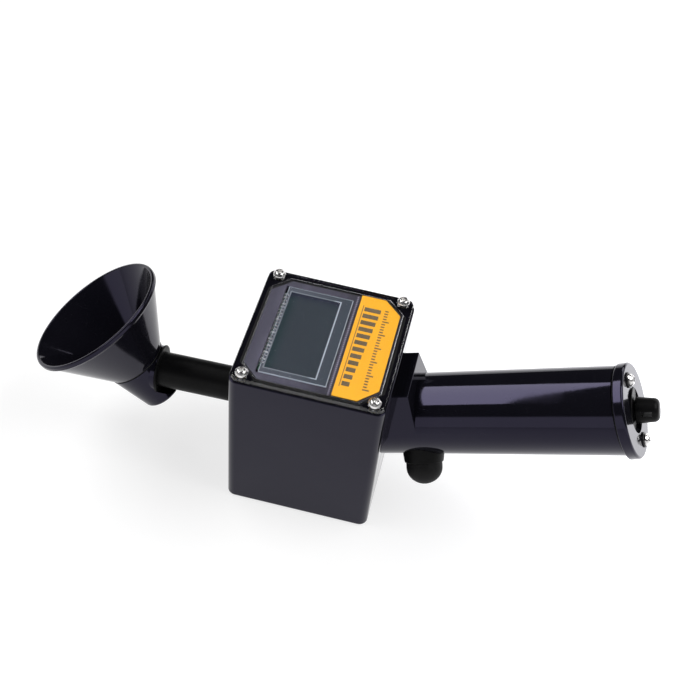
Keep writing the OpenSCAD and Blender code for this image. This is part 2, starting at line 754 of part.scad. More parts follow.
module button_collar() {
    color(black)
        difference() {
            in_button() translate([0, 0, 12])
                cylinder(h = collar_top - 12, r1 = collar_r + 0.9, r2 = collar_r - 0.5);
            in_button() cylinder(h = 40, r = boot_r + 0.15);
            in_handle() translate([0, 0, -30]) cylinder(h = 31, r = handle_r1 + run);
            in_handle() cylinder(h = handle_len, r1 = handle_r1 + run, r2 = handle_r2 + run);
        }
}
module button_boot() {
    dome = boot_r - 0.6;
    shoulder = boot_tip - dome;
    color(rubber) in_button()
        difference() {
            rotate_extrude()
                polygon(concat([[0, boot_foot], [boot_r, boot_foot]],
                    [for (a = [0 : 10 : 90]) [boot_r*cos(a), shoulder + dome*sin(a)]]));
            cylinder(h = boot_hollow_top, r = boot_hollow_r);
        }
}
module button_plunger() {
    color([0.85, 0.85, 0.85]) in_button() translate([0, 0, plunger_foot])
        cylinder(h = boot_hollow_top - plunger_foot, r = plunger_r);
}
module switch_body() {
    color([0.15, 0.15, 0.2]) in_button()
        difference() {
            union() {
                translate([0, 0, switch_low]) cylinder(h = 11.8 - switch_low + 3, r = switch_r);
                translate([0, 0, 12]) cylinder(h = nut_top - 12, r = bushing_r);
            }
            translate([0, 0, plunger_foot - button_travel - 1]) cylinder(h = 20, r = plunger_r + run);
        }
}
module switch_nut() {
    color(steel) in_button() ring(nut_r, bushing_r + run, nut_foot, nut_top);
}
module switch_leads() {
    color([0.2, 0.2, 0.6]) for (side = [-1, 1])
        wire(concat([at_button(side*1.5, switch_low), at_button(side*1.5, 1.2),
            at_handle(-1, -1.4, side*1.2), [case_x/2 - 6.5, side*1.4, wire_z - 1.6]],
            board_joint(board_x/2 - 3, side*5)), lead_r);
}

case_shell();
case_gasket();
lid();
lid_screws();
lid_inserts();
label_plate();
display_bezel();
lcd_glass();
lcd_film();
lcd_pins();
lcd_board();
bezel_screws();
ribbon_cable();
ribbon_sockets();
main_board();
board_screws();
board_chips();
buzzer();
wire_grommet();
neck_tube();
neck_nut();
neck_gasket();
neck_collar();
cup();
cup_seal();
cup_base();
electrodes();
electrode_leads();
handle_shell();
handle_screws();
battery();
battery_terminals();
battery_snap();
battery_leads();
battery_foam();
end_cap();
end_gasket();
end_screws();
end_washers();
knob();
knob_stud();
knob_clip();
button_collar();
button_boot();
button_plunger();
switch_body();
switch_nut();
switch_leads();
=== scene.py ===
import json
import math

import bmesh
import bpy
from bpy.props import FloatProperty, FloatVectorProperty, IntProperty, PointerProperty
from mathutils import Matrix, Vector


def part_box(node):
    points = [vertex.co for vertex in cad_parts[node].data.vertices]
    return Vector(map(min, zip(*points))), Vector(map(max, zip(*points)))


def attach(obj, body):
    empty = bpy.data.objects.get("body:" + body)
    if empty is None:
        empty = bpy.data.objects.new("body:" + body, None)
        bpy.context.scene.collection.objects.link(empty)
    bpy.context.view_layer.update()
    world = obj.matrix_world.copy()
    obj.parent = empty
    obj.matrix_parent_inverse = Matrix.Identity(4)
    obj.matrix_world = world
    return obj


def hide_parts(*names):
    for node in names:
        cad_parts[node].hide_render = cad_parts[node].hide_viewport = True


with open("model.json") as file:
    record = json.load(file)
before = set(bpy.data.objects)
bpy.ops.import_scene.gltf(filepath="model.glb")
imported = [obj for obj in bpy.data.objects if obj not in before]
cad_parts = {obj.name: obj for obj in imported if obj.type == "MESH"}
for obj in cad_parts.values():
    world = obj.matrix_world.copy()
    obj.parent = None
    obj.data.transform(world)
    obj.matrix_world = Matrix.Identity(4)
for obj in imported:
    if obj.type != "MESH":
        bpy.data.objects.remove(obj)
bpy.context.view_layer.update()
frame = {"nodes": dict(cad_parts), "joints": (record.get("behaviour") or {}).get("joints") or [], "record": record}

bl_info = {
    "name": "Milk Tester",
    "version": (1, 0, 0),
    "blender": (4, 5, 0),
    "location": "View3D > Sidebar > Tester",
    "description": "Builds the looks of a hand-held milk tester around its packed frame",
    "category": "Object",
}

MM = 0.001
CASE_LOW, CASE_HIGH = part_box("case_shell")
POCKET_LOW, POCKET_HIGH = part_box("case_gasket")
LID_LOW, LID_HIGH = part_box("lid")
LABEL_LOW, LABEL_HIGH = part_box("label_plate")
BEZEL_LOW, BEZEL_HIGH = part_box("display_bezel")
GLASS_LOW, GLASS_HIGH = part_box("lcd_glass")
FILM_LOW, FILM_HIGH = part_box("lcd_film")
PINS_LOW, PINS_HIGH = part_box("lcd_pins")


# ---------------------------------------------------------------- sizes and colours


def size(name, text, millimetres):
    return FloatProperty(name=name, description=text, default=millimetres * MM, unit="LENGTH", precision=5)


def turn(name, text, degrees):
    return FloatProperty(name=name, description=text, default=math.radians(degrees), subtype="ANGLE")


def colour(name, text, red, green, blue):
    return FloatVectorProperty(
        name=name, description=text, default=(red, green, blue), subtype="COLOR", size=3, min=0.0, max=1.0
    )


class CaseSettings(bpy.types.PropertyGroup):
    lean_x: size("End lean", "How much each end wall leans in from rim to bottom", 0.6)
    lean_y: size("Side lean", "How much each side wall leans in from rim to bottom", 4.8)
    corner: size("Corner radius", "Radius of the case's upright corners", 4)
    foot_edge: size("Foot edge", "Rounding of the bottom edge", 1.2)
    rim_edge: size("Rim edge", "Rounding of the rim's outer edge", 0.5)
    wall: size("Wall", "Wall thickness of the case", 2.5)
    floor: size("Floor", "Thickness of the case's floor", 3)
    pocket_cut: size("Pocket corner", "Chamfer across the corners of the rim pocket", 8.6)
    shelf: size("Shelf", "Width of the shelf that carries the bezel", 3.2)
    plastic: colour("Case black", "Colour of the glossy black plastic", 0.0026, 0.0025, 0.0042)


class WindowSettings(bpy.types.PropertyGroup):
    lid_edge: size("Lid edge", "Rounding of the lid's upper edge", 0.7)
    lid_skin: size("Lid skin", "Thickness of the lid over its hollow", 1.6)
    border_x: size("Border across", "Width of the lid's thick border at its ends", 3.1)
    border_y: size("Border along", "Width of the lid's thick border at its sides", 2.3)
    screw_head: size("Screw head", "Radius of the lid screws' heads", 2.8)
    screw_hole: size("Screw hole", "Radius of the lid's screw holes", 1.6)
    label_cut: size("Label corner", "Chamfer of the label's outer corners", 7.8)
    pin_count: IntProperty(name="Pins", description="Number of display edge pins", default=22, min=1)
    pin_pitch: size("Pin pitch", "Distance between display edge pins", 2)
    label_yellow: colour("Label yellow", "Colour of the label", 0.66, 0.33, 0.004)
    label_ink: colour("Label ink", "Colour of the label's scale", 0.03, 0.033, 0.03)
    film_grey: colour("Film grey", "Colour of the unlit display", 0.025, 0.031, 0.037)
    bezel_grey: colour("Bezel grey", "Colour of the display bezel", 0.045, 0.043, 0.06)


class CupSettings(bpy.types.PropertyGroup):
    lean: turn("Cup lean", "Lean of the cup's axis from upright", 37.8)
    depth: size("Funnel depth", "Depth of the funnel from rim to seam", 30.2)
    seam: size("Seam radius", "Outer radius of the funnel at the seam", 13.85)
    wall: size("Funnel wall", "Wall thickness of the funnel", 2)
    bead: size("Rim bead", "How far the rim's bead stands out", 1.5)
    stub: size("Stub length", "Length of the closed stub below the seam", 21.9)
    stub_end: size("Stub end radius", "Radius of the stub's end", 9.35)
    neck_droop: turn("Neck droop", "Slope of the neck down towards the cup", 1.6)
    neck_bore: size("Neck bore", "Bore radius of the neck tube", 5.5)
    matte: colour("Matte black", "Colour of the matte black plastic", 0.0028, 0.0028, 0.003)


class HandleSettings(bpy.types.PropertyGroup):
    root_radius: size("Root radius", "Radius of the handle at the case", 17.7)
    end_radius: size("End radius", "Radius of the handle at its end", 19.1)
    length: size("Handle length", "Length of the handle from its reference point to the end face", 98.4)
    bore: size("Handle bore", "Bore radius of the handle", 16.2)
    lug_length: size("Lug length", "Length of the mounting lug past the reference point", 7.2)
    lug_half: size("Lug half width", "Half width of the lug's flat top", 13.5)
    lug_top: size("Lug top", "Height of the lug's flat top above the handle's axis", 24.2)
    slant: turn("Face slant", "Slant of the end face from square", 8.7)
    cap_radius: size("Cap radius", "Radius of the end cap", 20.5)
    cap_thickness: size("Cap thickness", "Thickness of the end cap", 4.6)
    gasket: size("Gasket thickness", "Thickness of the gasket under the end cap", 0.6)
    screw_out: size("End screw place", "Distance of the end screws from the cap's centre", 14.5)
    screw_turn: turn("End screw turn", "Angle of the end screws about the cap's centre", 16.5)
    knob_root: size("Knob root radius", "Radius of the knob at its root", 5.6)
    knob_tip: size("Knob tip radius", "Radius of the knob at its tip", 4.9)
    knob_length: size("Knob length", "Length of the knob's grip", 9.8)
    flange: size("Knob flange radius", "Radius of the knob's flange", 9.5)
    flange_thickness: size("Knob flange thickness", "Thickness of the knob's flange", 0.8)


class ButtonSettings(bpy.types.PropertyGroup):
    place: size("Button place", "Place of the button along the handle", 5.6)
    around: turn("Button turn", "Angle of the button round the handle from straight down", 40)
    boot: size("Boot radius", "Radius of the rubber boot", 8)
    tip: size("Boot tip", "Height of the boot's tip above the handle's axis", 31.4)
    collar: size("Collar radius", "Mean radius of the button's collar", 9.1)
    collar_top: size("Collar top", "Height of the collar's top above the handle's axis", 21.6)
    rubber: colour("Boot black", "Colour of the rubber boot", 0.0055, 0.0055, 0.0058)


class StageSettings(bpy.types.PropertyGroup):
    azimuth: turn("Azimuth", "Direction of the camera round the tester", 7)
    elevation: turn("Elevation", "Height of the camera over the tester", 46.5)
    roll: turn("Roll", "Turn of the camera about its own axis", 7.8)
    distance: size("Distance", "Distance of the camera from the point that it looks at", 613.6)
    aim_x: size("Aim X", "Point that the camera looks at, along the handle", 6.3)
    aim_y: size("Aim Y", "Point that the camera looks at, across the handle", 40.8)
    aim_z: size("Aim Z", "Height of the point that the camera looks at", 37.7)
    lens: FloatProperty(name="Lens", description="Focal length", default=66.74, subtype="DISTANCE_CAMERA")
    floor_white: colour("Floor white", "Colour of the floor", 0.34, 0.34, 0.34)
    # Place of the floor's painted glow pool, which stands in for a lamp.
    painted_pool_x: size("Painted pool X", "Place of the floor's brightest spot, along the handle", 330)
    painted_pool_y: size("Painted pool Y", "Place of the floor's brightest spot, across the handle", 230)


SETTINGS = {
    "tester_case": CaseSettings,
    "tester_window": WindowSettings,
    "tester_cup": CupSettings,
    "tester_handle": HandleSettings,
    "tester_button": ButtonSettings,
    "tester_stage": StageSettings,
}


# ---------------------------------------------------------------- places, from the frame


def leaning(angle):
    return Matrix.Rotation(angle, 4, "Y")


# How much smaller the cup's rim and the end cap are drawn, which keeps them inside the measured box.
ROUNDED_IN = 0.12 * MM
TRIMMED_IN = 0.1 * MM


def measured(node, turned):
    """Lowest and highest corners of a CAD node along turned axes."""
    back = turned.inverted()
    points = [back @ v.co for v in frame["nodes"][node].data.vertices]
    return [Vector([pick(p[i] for p in points) for i in range(3)]) for pick in (min, max)]


def joint(name):
    return next(j for j in frame["joints"] if j["name"] == name)


def cup_place():
    """The cup's axis as +Z, from the centre of its mouth."""
    turned = leaning(-bpy.context.scene.tester_cup.lean)
    low, high = measured("cup", turned)
    return turned @ Matrix.Translation(((low.x + high.x) / 2, (low.y + high.y) / 2, high.z))


def neck_place():
    """The neck's axis as +Z towards the cup, from the tube's inner end, and the tube's length and radius."""
    turned = leaning(-math.pi / 2 - bpy.context.scene.tester_cup.neck_droop)
    low, high = measured("neck_tube", turned)
    place = turned @ Matrix.Translation(((low.x + high.x) / 2, (low.y + high.y) / 2, low.z))
    return place, high.z - low.z, (high.y - low.y) / 2


def end_place():
    """The handle's axis as +Z, from the centre of its end face, with -X upwards."""
    knob = joint("knob_turn")
    axis = Vector(knob["axis"])
    return Matrix.Translation(knob["pos_m"]) @ leaning(math.atan2(axis.x, axis.z))


def handle_place():
    """The handle's axis as +Z, from its reference point at the case."""
    return end_place() @ Matrix.Translation((0, 0, -bpy.context.scene.tester_handle.length))


def lid_screw_places():
    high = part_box("lid_screws")[1]
    head = bpy.context.scene.tester_window.screw_head
    x, y = high.x - head, high.y - head
    return [(x, y, 0), (-x, y, 0), (-x, -y, 0), (x, -y, 0)]


def face_place():
    """The end face's normal as +Z, from its centre."""
    return end_place() @ leaning(-bpy.context.scene.tester_handle.slant)


def button_place():
    """The button's axis as +Z, out of the handle, from the handle's axis."""
    button = bpy.context.scene.tester_button
    along = Matrix.Translation((0, 0, button.place))
    return handle_place() @ along @ Matrix.Rotation(-button.around, 4, "Z") @ leaning(math.pi / 2)


# ---------------------------------------------------------------- mesh making


def outline(corners, steps=6):
    """Closed outline through (x, y, radius) corners, each rounded by its radius."""
    points = []
    for i, (x, y, radius) in enumerate(corners):
        here = Vector((x, y))
        if radius <= 0:
            points.append(here)
            continue
        back = (Vector(corners[i - 1][:2]) - here).normalized()
        ahead = (Vector(corners[(i + 1) % len(corners)][:2]) - here).normalized()
        half = back.angle(ahead) / 2
        centre = here + (back + ahead).normalized() * radius / math.sin(half)
        first = here + back * radius / math.tan(half) - centre
        last = here + ahead * radius / math.tan(half) - centre
        start = math.atan2(first.y, first.x)
        sweep = (math.atan2(last.y, last.x) - start + math.pi) % math.tau - math.pi
        for k in range(steps + 1):
            angle = start + sweep * k / steps
            points.append(centre + radius * Vector((math.cos(angle), math.sin(angle))))
    return points


def rounded_box(half_x, half_y, radius, steps=10):
    def shape(inset, z=0.0):
        x, y, r = half_x - inset, half_y - inset, max(radius - inset, 0.1 * MM)
        return outline([(x, -y, r), (x, y, r), (-x, y, r), (-x, -y, r)], steps)

    return shape


def cut_box(half_x, half_y, cut, radius=0.0, steps=3):
    """Rectangle with chamfered corners, all its own corners rounded by radius."""

    def shape(inset, z=0.0):
        x, y = half_x - inset, half_y - inset
        c = cut - (2 - math.sqrt(2)) * inset
        ways = [(1, -1), (1, 1), (-1, 1), (-1, -1)]
        corners = []
        for sx, sy in ways:
            ends = [(sx * (x - c), sy * y, radius), (sx * x, sy * (y - c), radius)]
            corners += ends if sx * sy < 0 else ends[::-1]
        return outline(corners, steps)

    return shape


def stacked(rings):
    """Closed skin over rings of points, all with the same number of points."""
    mesh = bmesh.new()
    rows = [[mesh.verts.new(p) for p in ring] for ring in rings]
    for a, b in zip(rows, rows[1:]):
        for k in range(len(a)):
            mesh.faces.new((a[k - 1], a[k], b[k], b[k - 1]))
    mesh.faces.new(rows[0][::-1])
    mesh.faces.new(rows[-1])
    bmesh.ops.recalc_face_normals(mesh, faces=mesh.faces)
    return mesh


def slab(shape, low, high, bottom=0.0, top=0.0, steps=6):
    """Prism of shape(inset, z) between two heights, its edges rounded by the bottom and top radii."""
    levels = []
    for k in range(steps + 1 if bottom else 1):
        angle = math.pi / 2 * k / steps
        levels.append((bottom * (1 - math.sin(angle)), low + bottom * (1 - math.cos(angle))))
    for k in range(steps + 1 if top else 1):
        angle = math.pi / 2 * k / steps
        levels.append((top * (1 - math.cos(angle)), high - top * (1 - math.sin(angle))))
    return stacked([[(*p, z) for p in shape(inset, z)] for inset, z in levels])


def lathe(corners, segments=96, steps=6):
    """Solid of revolution about +Z from a closed profile of (radius, z, fillet) corners."""
    mesh = bmesh.new()
    rings = []
    for p in outline(corners, steps):
        count = segments if p.x > 1e-6 else 1
        angles = [math.tau * k / count for k in range(count)]
        rings.append([mesh.verts.new((p.x * math.cos(a), p.x * math.sin(a), p.y)) for a in angles])
    for a, b in zip(rings, rings[1:] + rings[:1]):
        if len(a) == len(b) == 1:
            continue
        for k in range(segments):
            loop = [a[k % len(a)], a[(k + 1) % len(a)], b[(k + 1) % len(b)], b[k % len(b)]]
            mesh.faces.new(list(dict.fromkeys(loop)))
    bmesh.ops.remove_doubles(mesh, verts=mesh.verts, dist=1e-7)
    bmesh.ops.recalc_face_normals(mesh, faces=mesh.faces)
    return mesh


def drum(radius, low, high, segments=96):
    return lathe([(0, low, 0), (radius, low, 0), (radius, high, 0), (0, high, 0)], segments)


def moved(mesh, place):
    mesh.transform(place)
    return mesh


def scratch(mesh, name="scratch"):
    """A plain object in the scene that holds a bmesh for a while."""
    data = bpy.data.meshes.new(name)
    mesh.to_mesh(data)
    mesh.free()
    holder = bpy.data.objects.new(name, data)
    bpy.context.scene.collection.objects.link(holder)
    return holder


def settled(holder):
    """The evaluated mesh of an object, whose object is then removed."""
    bpy.context.view_layer.update()
    ready = holder.evaluated_get(bpy.context.evaluated_depsgraph_get())
    data = bpy.data.meshes.new_from_object(ready)
    bpy.data.objects.remove(holder)
    return data


def carve(mesh, *others, operation="DIFFERENCE"):
    """Cuts other solids from a solid, or joins them to it."""
    body = scratch(mesh)
    tools = [scratch(other) for other in others]
    for tool in tools:
        step = body.modifiers.new("carve", "BOOLEAN")
        step.operation = operation
        step.solver = "EXACT"
        step.object = tool
    data = settled(body)
    for tool in tools:
        bpy.data.objects.remove(tool)
    result = bmesh.new()
    result.from_mesh(data)
    bpy.data.meshes.remove(data)
    bmesh.ops.remove_doubles(result, verts=result.verts, dist=1e-6)
    return result


def slot_of(node):
    return next(s["material_slot"] for s in frame["record"]["subparts"] if s["node"] == node)


def finished(data, name, node, finish, body="body", sharp=32):
    """Turns a mesh into a piece that stands for a CAD node."""
    data.name = name
    data.shade_smooth()
    data.set_sharp_from_angle(angle=math.radians(sharp))
    piece = bpy.data.objects.new(name, data)
    bpy.context.scene.collection.objects.link(piece)
    even = piece.modifiers.new("even shading", "WEIGHTED_NORMAL")
    even.keep_sharp = True
    data = settled(piece)
    data.name = name
    data.materials.clear()
    data.materials.append(finish)
    piece = bpy.data.objects.new(name, data)
    bpy.context.scene.collection.objects.link(piece)
    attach(piece, body)
    slot_of(node)
    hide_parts(node)
    return piece


def make(mesh, name, node, finish, place=None, body="body", sharp=32):
    if place:
        mesh.transform(place)
    data = bpy.data.meshes.new(name)
    mesh.to_mesh(data)
    mesh.free()
    return finished(data, name, node, finish, body, sharp)


# ---------------------------------------------------------------- geometry nodes for what repeats


class GrowthTree:
    """A geometry node tree with named inputs, built one node at a time."""

    def __init__(self, name, inputs):
        self.tree = bpy.data.node_groups.new(name, "GeometryNodeTree")
        self.tree.interface.new_socket("Geometry", in_out="INPUT", socket_type="NodeSocketGeometry")
        for label, kind in inputs.items():
            self.tree.interface.new_socket(label, in_out="INPUT", socket_type="NodeSocket" + kind)
        self.tree.interface.new_socket("Geometry", in_out="OUTPUT", socket_type="NodeSocketGeometry")
        self.start = self.tree.nodes.new("NodeGroupInput")

    def add(self, kind, settings=None, sockets=None):
        node = self.tree.nodes.new("GeometryNode" + kind)
        for key, value in (settings or {}).items():
            setattr(node, key, value)
        for key, value in (sockets or {}).items():
            if isinstance(value, bpy.types.NodeSocket):
                self.tree.links.new(value, node.inputs[key])
            else:
                node.inputs[key].default_value = value
        return node

    def end(self, instances):
        """Closes the tree with real geometry in the given finish."""
        real = self.add("RealizeInstances", sockets={"Geometry": instances})
        named = {"Geometry": real.outputs[0], "Material": self.start.outputs["Finish"]}
        coat = self.add("SetMaterial", sockets=named)
        output = self.tree.nodes.new("NodeGroupOutput")
        self.tree.links.new(coat.outputs[0], output.inputs[0])

    def grow(self, points, **values):
        """The mesh that the tree makes from the given points."""
        mesh = bmesh.new()
        for p in points:
            mesh.verts.new(p)
        holder = scratch(mesh)
        step = holder.modifiers.new("grow", "NODES")
        step.node_group = self.tree
        for item in self.tree.interface.items_tree:
            if item.in_out == "INPUT" and item.name in values:
                step[item.identifier] = values[item.name]
        return settled(holder)


def scatter_tree():
    """Sets a copy of one part on every point, each turned by chance about its own axis."""
    growth = GrowthTree("Set fasteners", {"Part": "Object", "Seed": "Int", "Finish": "Material"})
    part = growth.add("ObjectInfo", sockets={"Object": growth.start.outputs["Part"]})
    spin = growth.tree.nodes.new("FunctionNodeRandomValue")
    spin.data_type = "FLOAT_VECTOR"
    spin.inputs["Min"].default_value = (0, 0, 0)
    spin.inputs["Max"].default_value = (0, 0, math.tau)
    growth.tree.links.new(growth.start.outputs["Seed"], spin.inputs["Seed"])
    wires = {
        "Points": growth.start.outputs["Geometry"],
        "Instance": part.outputs["Geometry"],
        "Rotation": spin.outputs["Value"],
    }
    growth.end(growth.add("InstanceOnPoints", sockets=wires).outputs[0])
    return growth


def comb_tree():
    """Sets copies of one part in a straight row along Y."""
    growth = GrowthTree(
        "Set pins", {"Part": "Object", "Count": "Int", "Pitch": "Float", "Finish": "Material"}
    )
    part = growth.add("ObjectInfo", sockets={"Object": growth.start.outputs["Part"]})
    offset = growth.tree.nodes.new("ShaderNodeCombineXYZ")
    growth.tree.links.new(growth.start.outputs["Pitch"], offset.inputs["Y"])
    row = growth.add("MeshLine", sockets={"Count": growth.start.outputs["Count"]})
    growth.tree.links.new(offset.outputs[0], row.inputs["Offset"])
    wires = {"Points": row.outputs[0], "Instance": part.outputs["Geometry"]}
    growth.end(growth.add("InstanceOnPoints", sockets=wires).outputs[0])
    return growth


# ---------------------------------------------------------------- finishes


class Wire:
    """A socket that takes part in sums, so that shader maths reads as Python."""

    def __init__(self, sheet, socket):
        self.sheet = sheet
        self.socket = socket

    def sum(self, operation, *values):
        return self.sheet.add("Math", {"operation": operation}, dict(enumerate(values)))

    def __add__(self, other):
        return self.sum("ADD", self, other)

    def __sub__(self, other):
        return self.sum("SUBTRACT", self, other)

    def __rsub__(self, other):
        return self.sum("SUBTRACT", other, self)

    def __mul__(self, other):
        return self.sum("MULTIPLY", self, other)

    def __truediv__(self, other):
        return self.sum("DIVIDE", self, other)

    def __abs__(self):
        return self.sum("ABSOLUTE", self)

    __radd__ = __add__
    __rmul__ = __mul__

    def floor(self):
        return self.sum("FLOOR", self)

    def fraction(self):
        return self.sum("FRACT", self)

    def rise(self, low, high):
        """0 below low and 1 above high, with a smooth step between."""
        sockets = {"Value": self, "From Min": low, "From Max": high}
        return self.sheet.add("MapRange", {"interpolation_type": "SMOOTHSTEP"}, sockets)

    def within(self, low, high, soft):
        """1 between low and high, with soft edges."""
        return self.rise(low - soft, low + soft) * (1 - self.rise(high - soft, high + soft))


class Sheet:
    """A shader node tree, with one method that adds any node to it."""

    def __init__(self, tree):
        self.tree = tree
        self.tree.nodes.clear()

    def feed(self, socket, value):
        if isinstance(value, Wire):
            self.tree.links.new(value.socket, socket)
        elif isinstance(value, (tuple, list)) and len(value) == 3 and len(socket.default_value) == 4:
            socket.default_value = (*value, 1.0)
        else:
            socket.default_value = value

    def add(self, kind, settings=None, sockets=None, out=0):
        node = self.tree.nodes.new("ShaderNode" + kind)
        for key, value in (settings or {}).items():
            setattr(node, key, value)
        for key, value in (sockets or {}).items():
            self.feed(node.inputs[key], value)
        return Wire(self, node.outputs[out])

    def place(self, scale=(1, 1, 1), turned=(0, 0, 0)):
        """Object coordinates, turned and stretched."""
        raw = self.add("TexCoord", out="Object")
        sockets = {"Vector": raw, "Rotation": turned, "Scale": scale}
        return self.add("Mapping", sockets=sockets)

    def axes(self):
        """Object coordinates in millimetres, as three values."""
        spot = self.place((1 / MM, 1 / MM, 1 / MM))
        return [self.add("SeparateXYZ", sockets={"Vector": spot}, out=axis) for axis in "XYZ"]

    def noise(self, scale, detail=3.0, rough=0.5, spot=None, bend=0.0):
        """Noise from 0 to 1 with features of 1 / scale metres."""
        sockets = {"Vector": spot or self.place(), "Scale": scale, "Detail": detail,
                   "Roughness": rough, "Distortion": bend}
        return self.add("TexNoise", sockets=sockets)

    def mix(self, factor, a, b):
        sockets = {0: factor, 6: a, 7: b}
        return self.add("Mix", {"data_type": "RGBA"}, sockets, out=2)

    def bump(self, height, depth, strength=1.0, normal=None):
        sockets = {"Height": height, "Distance": depth, "Strength": strength}
        if normal:
            sockets["Normal"] = normal
        return self.add("Bump", sockets=sockets)


class Finish(Sheet):
    """A material with its Principled shader."""

    def __init__(self, name, constants=None):
        self.material = bpy.data.materials.new(name)
        self.material.use_nodes = True
        super().__init__(self.material.node_tree)
        self.shader = self.tree.nodes.new("ShaderNodeBsdfPrincipled")
        output = self.tree.nodes.new("ShaderNodeOutputMaterial")
        self.tree.links.new(self.shader.outputs[0], output.inputs["Surface"])
        self.set(constants or {})

    def set(self, sockets):
        for key, value in sockets.items():
            self.feed(self.shader.inputs[key], value)
        return self.material


def gloss_plastic(name, base, rough=0.07, wave=0.16, index=1.38, tint=(0.66, 0.61, 1.0)):
    """Glossy moulded plastic: faint flow waves, handling smudges and hairline scratches."""
    look = Finish(name, {"IOR": index, "Specular Tint": tint})
    smudge = look.noise(55, 4, 0.6).rise(0.42, 0.75)
    hairs = look.noise(900, 2, 0.6, look.place((1, 0.03, 1), (0.3, 0.2, 0.7))).rise(0.66, 0.72)
    cross = look.noise(1100, 2, 0.6, look.place((0.04, 1, 1), (0.5, 0.1, 0.3))).rise(0.68, 0.74)
    marks = hairs * 0.5 + cross * 0.5
    dust = look.noise(1600, 2, 0.7).rise(0.74, 0.8)
    shade = look.noise(30, 3, 0.5)
    pale = tuple(min(1.0, c * 1.6 + 0.002) for c in base)
    body = look.mix(shade, base, pale)
    worn = look.mix(marks * 0.08 + dust * 0.2, body, (0.06, 0.06, 0.07))
    waves = look.bump(look.noise(70, 1, 0.4), wave * MM, 0.25)
    return look.set({
        "Base Color": worn,
        "Roughness": smudge * 0.05 + marks * 0.06 + rough,
        "Normal": look.bump(look.noise(700, 2, 0.5), 0.01 * MM, 0.35, waves),
    })


def matte_plastic(name, base, rough=0.48, grain=0.03, pitch=2600):
    """Matte moulded plastic with a fine spark-eroded grain and rubbed patches."""
    look = Finish(name, {"IOR": 1.46, "Specular IOR Level": 0.1})
    rubbed = look.noise(90, 3, 0.6).rise(0.45, 0.7)
    fine = look.noise(pitch, 3, 0.6)
    pale = tuple(min(1.0, c * 1.5 + 0.001) for c in base)
    return look.set({
        "Base Color": look.mix(rubbed * 0.6 + fine * 0.3, base, pale),
        "Roughness": rough + fine * 0.08 - rubbed * 0.1,
        "Normal": look.bump(fine, grain * MM, 0.6),
    })


def moulded_rubber(name, base):
    """Dull moulded rubber with a bloom of fine dust."""
    look = Finish(name, {"IOR": 1.42, "Specular IOR Level": 0.18})
    bloom = look.noise(160, 5, 0.65).rise(0.4, 0.72)
    fine = look.noise(3200, 3, 0.6)
    pale = tuple(c * 1.7 + 0.002 for c in base)
    return look.set({
        "Base Color": look.mix(bloom * 0.7, base, pale),
        "Roughness": 0.52 + bloom * 0.12 + fine * 0.08,
        "Normal": look.bump(fine, 0.025 * MM, 0.6),
    })


def foam(name, base):
    """Open-cell foam."""
    look = Finish(name)
    cells = look.add("TexVoronoi", {"feature": "SMOOTH_F1"}, {"Vector": look.place(), "Scale": 900})
    return look.set({
        "Base Color": look.mix(cells, tuple(c * 0.4 for c in base), base),
        "Roughness": 0.9 - cells * 0.1,
        "Normal": look.bump(cells, 0.3 * MM, 0.8),
    })


def plated_metal(name, base, rough=0.2, metal=1.0):
    """Bright plated metal with fine tooling marks, tarnish and small pits."""
    look = Finish(name)
    tooling = look.noise(2400, 2, 0.6, look.place((1, 1, 0.15)))
    tarnish = look.noise(420, 4, 0.6).rise(0.45, 0.75)
    pits = look.noise(5200, 2, 0.5).rise(0.7, 0.76)
    dull = tuple(c * 0.55 for c in base)
    return look.set({
        "Base Color": look.mix(tarnish * 0.55 + pits * 0.3, base, dull),
        "Metallic": metal - tarnish * 0.08,
        "Roughness": rough + tooling * 0.12 + tarnish * 0.14,
        "Normal": look.bump(tooling, 0.01 * MM, 0.5),
    })


def clear_plastic(name):
    """Clear polished plastic with faint handling marks."""
    look = Finish(name, {"Base Color": (0.965, 0.965, 0.985), "IOR": 1.49, "Transmission Weight": 1.0})
    hairs = look.noise(1200, 2, 0.6, look.place((1, 0.03, 1), (0, 0, 0.6))).rise(0.68, 0.74)
    smear = look.noise(80, 3, 0.6).rise(0.5, 0.8)
    return look.set({
        "Roughness": 0.012 + hairs * 0.05 + smear * 0.012,
        "Normal": look.bump(look.noise(60, 1, 0.4), 0.02 * MM, 0.2),
    })


def label_print(name, yellow, ink):
    """Yellow printed plate with a stepped level scale and a row of small ticks."""
    bar_count, bar_pitch, bar_first = 12, 4.1, -24.6
    tick_pitch = 1.64
    left = LABEL_LOW.x / MM
    look = Finish(name, {"IOR": 1.5})
    x, y, _ = look.axes()
    run = (y - bar_first) / bar_pitch
    step = run.floor()
    inside = run.within(0, bar_count, 0.01)
    bar = run.fraction().within(0.16, 0.78, 0.02) * inside
    tall = x.rise(left + 2.55, left + 2.7) * (1 - (x - step * 0.36 - (left + 6.0)).rise(-0.06, 0.06))
    base_line = x.within(left + 1.75, left + 2.1, 0.05) * inside
    count = (y - bar_first) / tick_pitch
    tick = count.fraction().within(0.24, 0.72, 0.05) * inside
    every_fifth = 1 - abs((count / 5).fraction() - 0.1).rise(0.09, 0.11)
    reach = x.rise(left + 11.55, left + 11.65) * (1 - (x - every_fifth * 1.3).rise(left + 13.2, left + 13.3))
    marks = bar * tall + base_line + tick * reach
    printed = marks.sum("MINIMUM", marks, 1.0)
    thin = look.noise(1500, 3, 0.6).rise(0.3, 0.75)
    cast = look.mix(look.noise(25, 2, 0.4), yellow, (yellow[0] * 0.95, yellow[1] * 0.87, yellow[2]))
    return look.set({
        "Base Color": look.mix(printed * (0.86 + thin * 0.12), cast, ink),
        "Roughness": 0.4 + printed * 0.1 + look.noise(300, 2, 0.4) * 0.02,
        "Normal": look.bump(printed, 0.01 * MM, 0.4),
    })


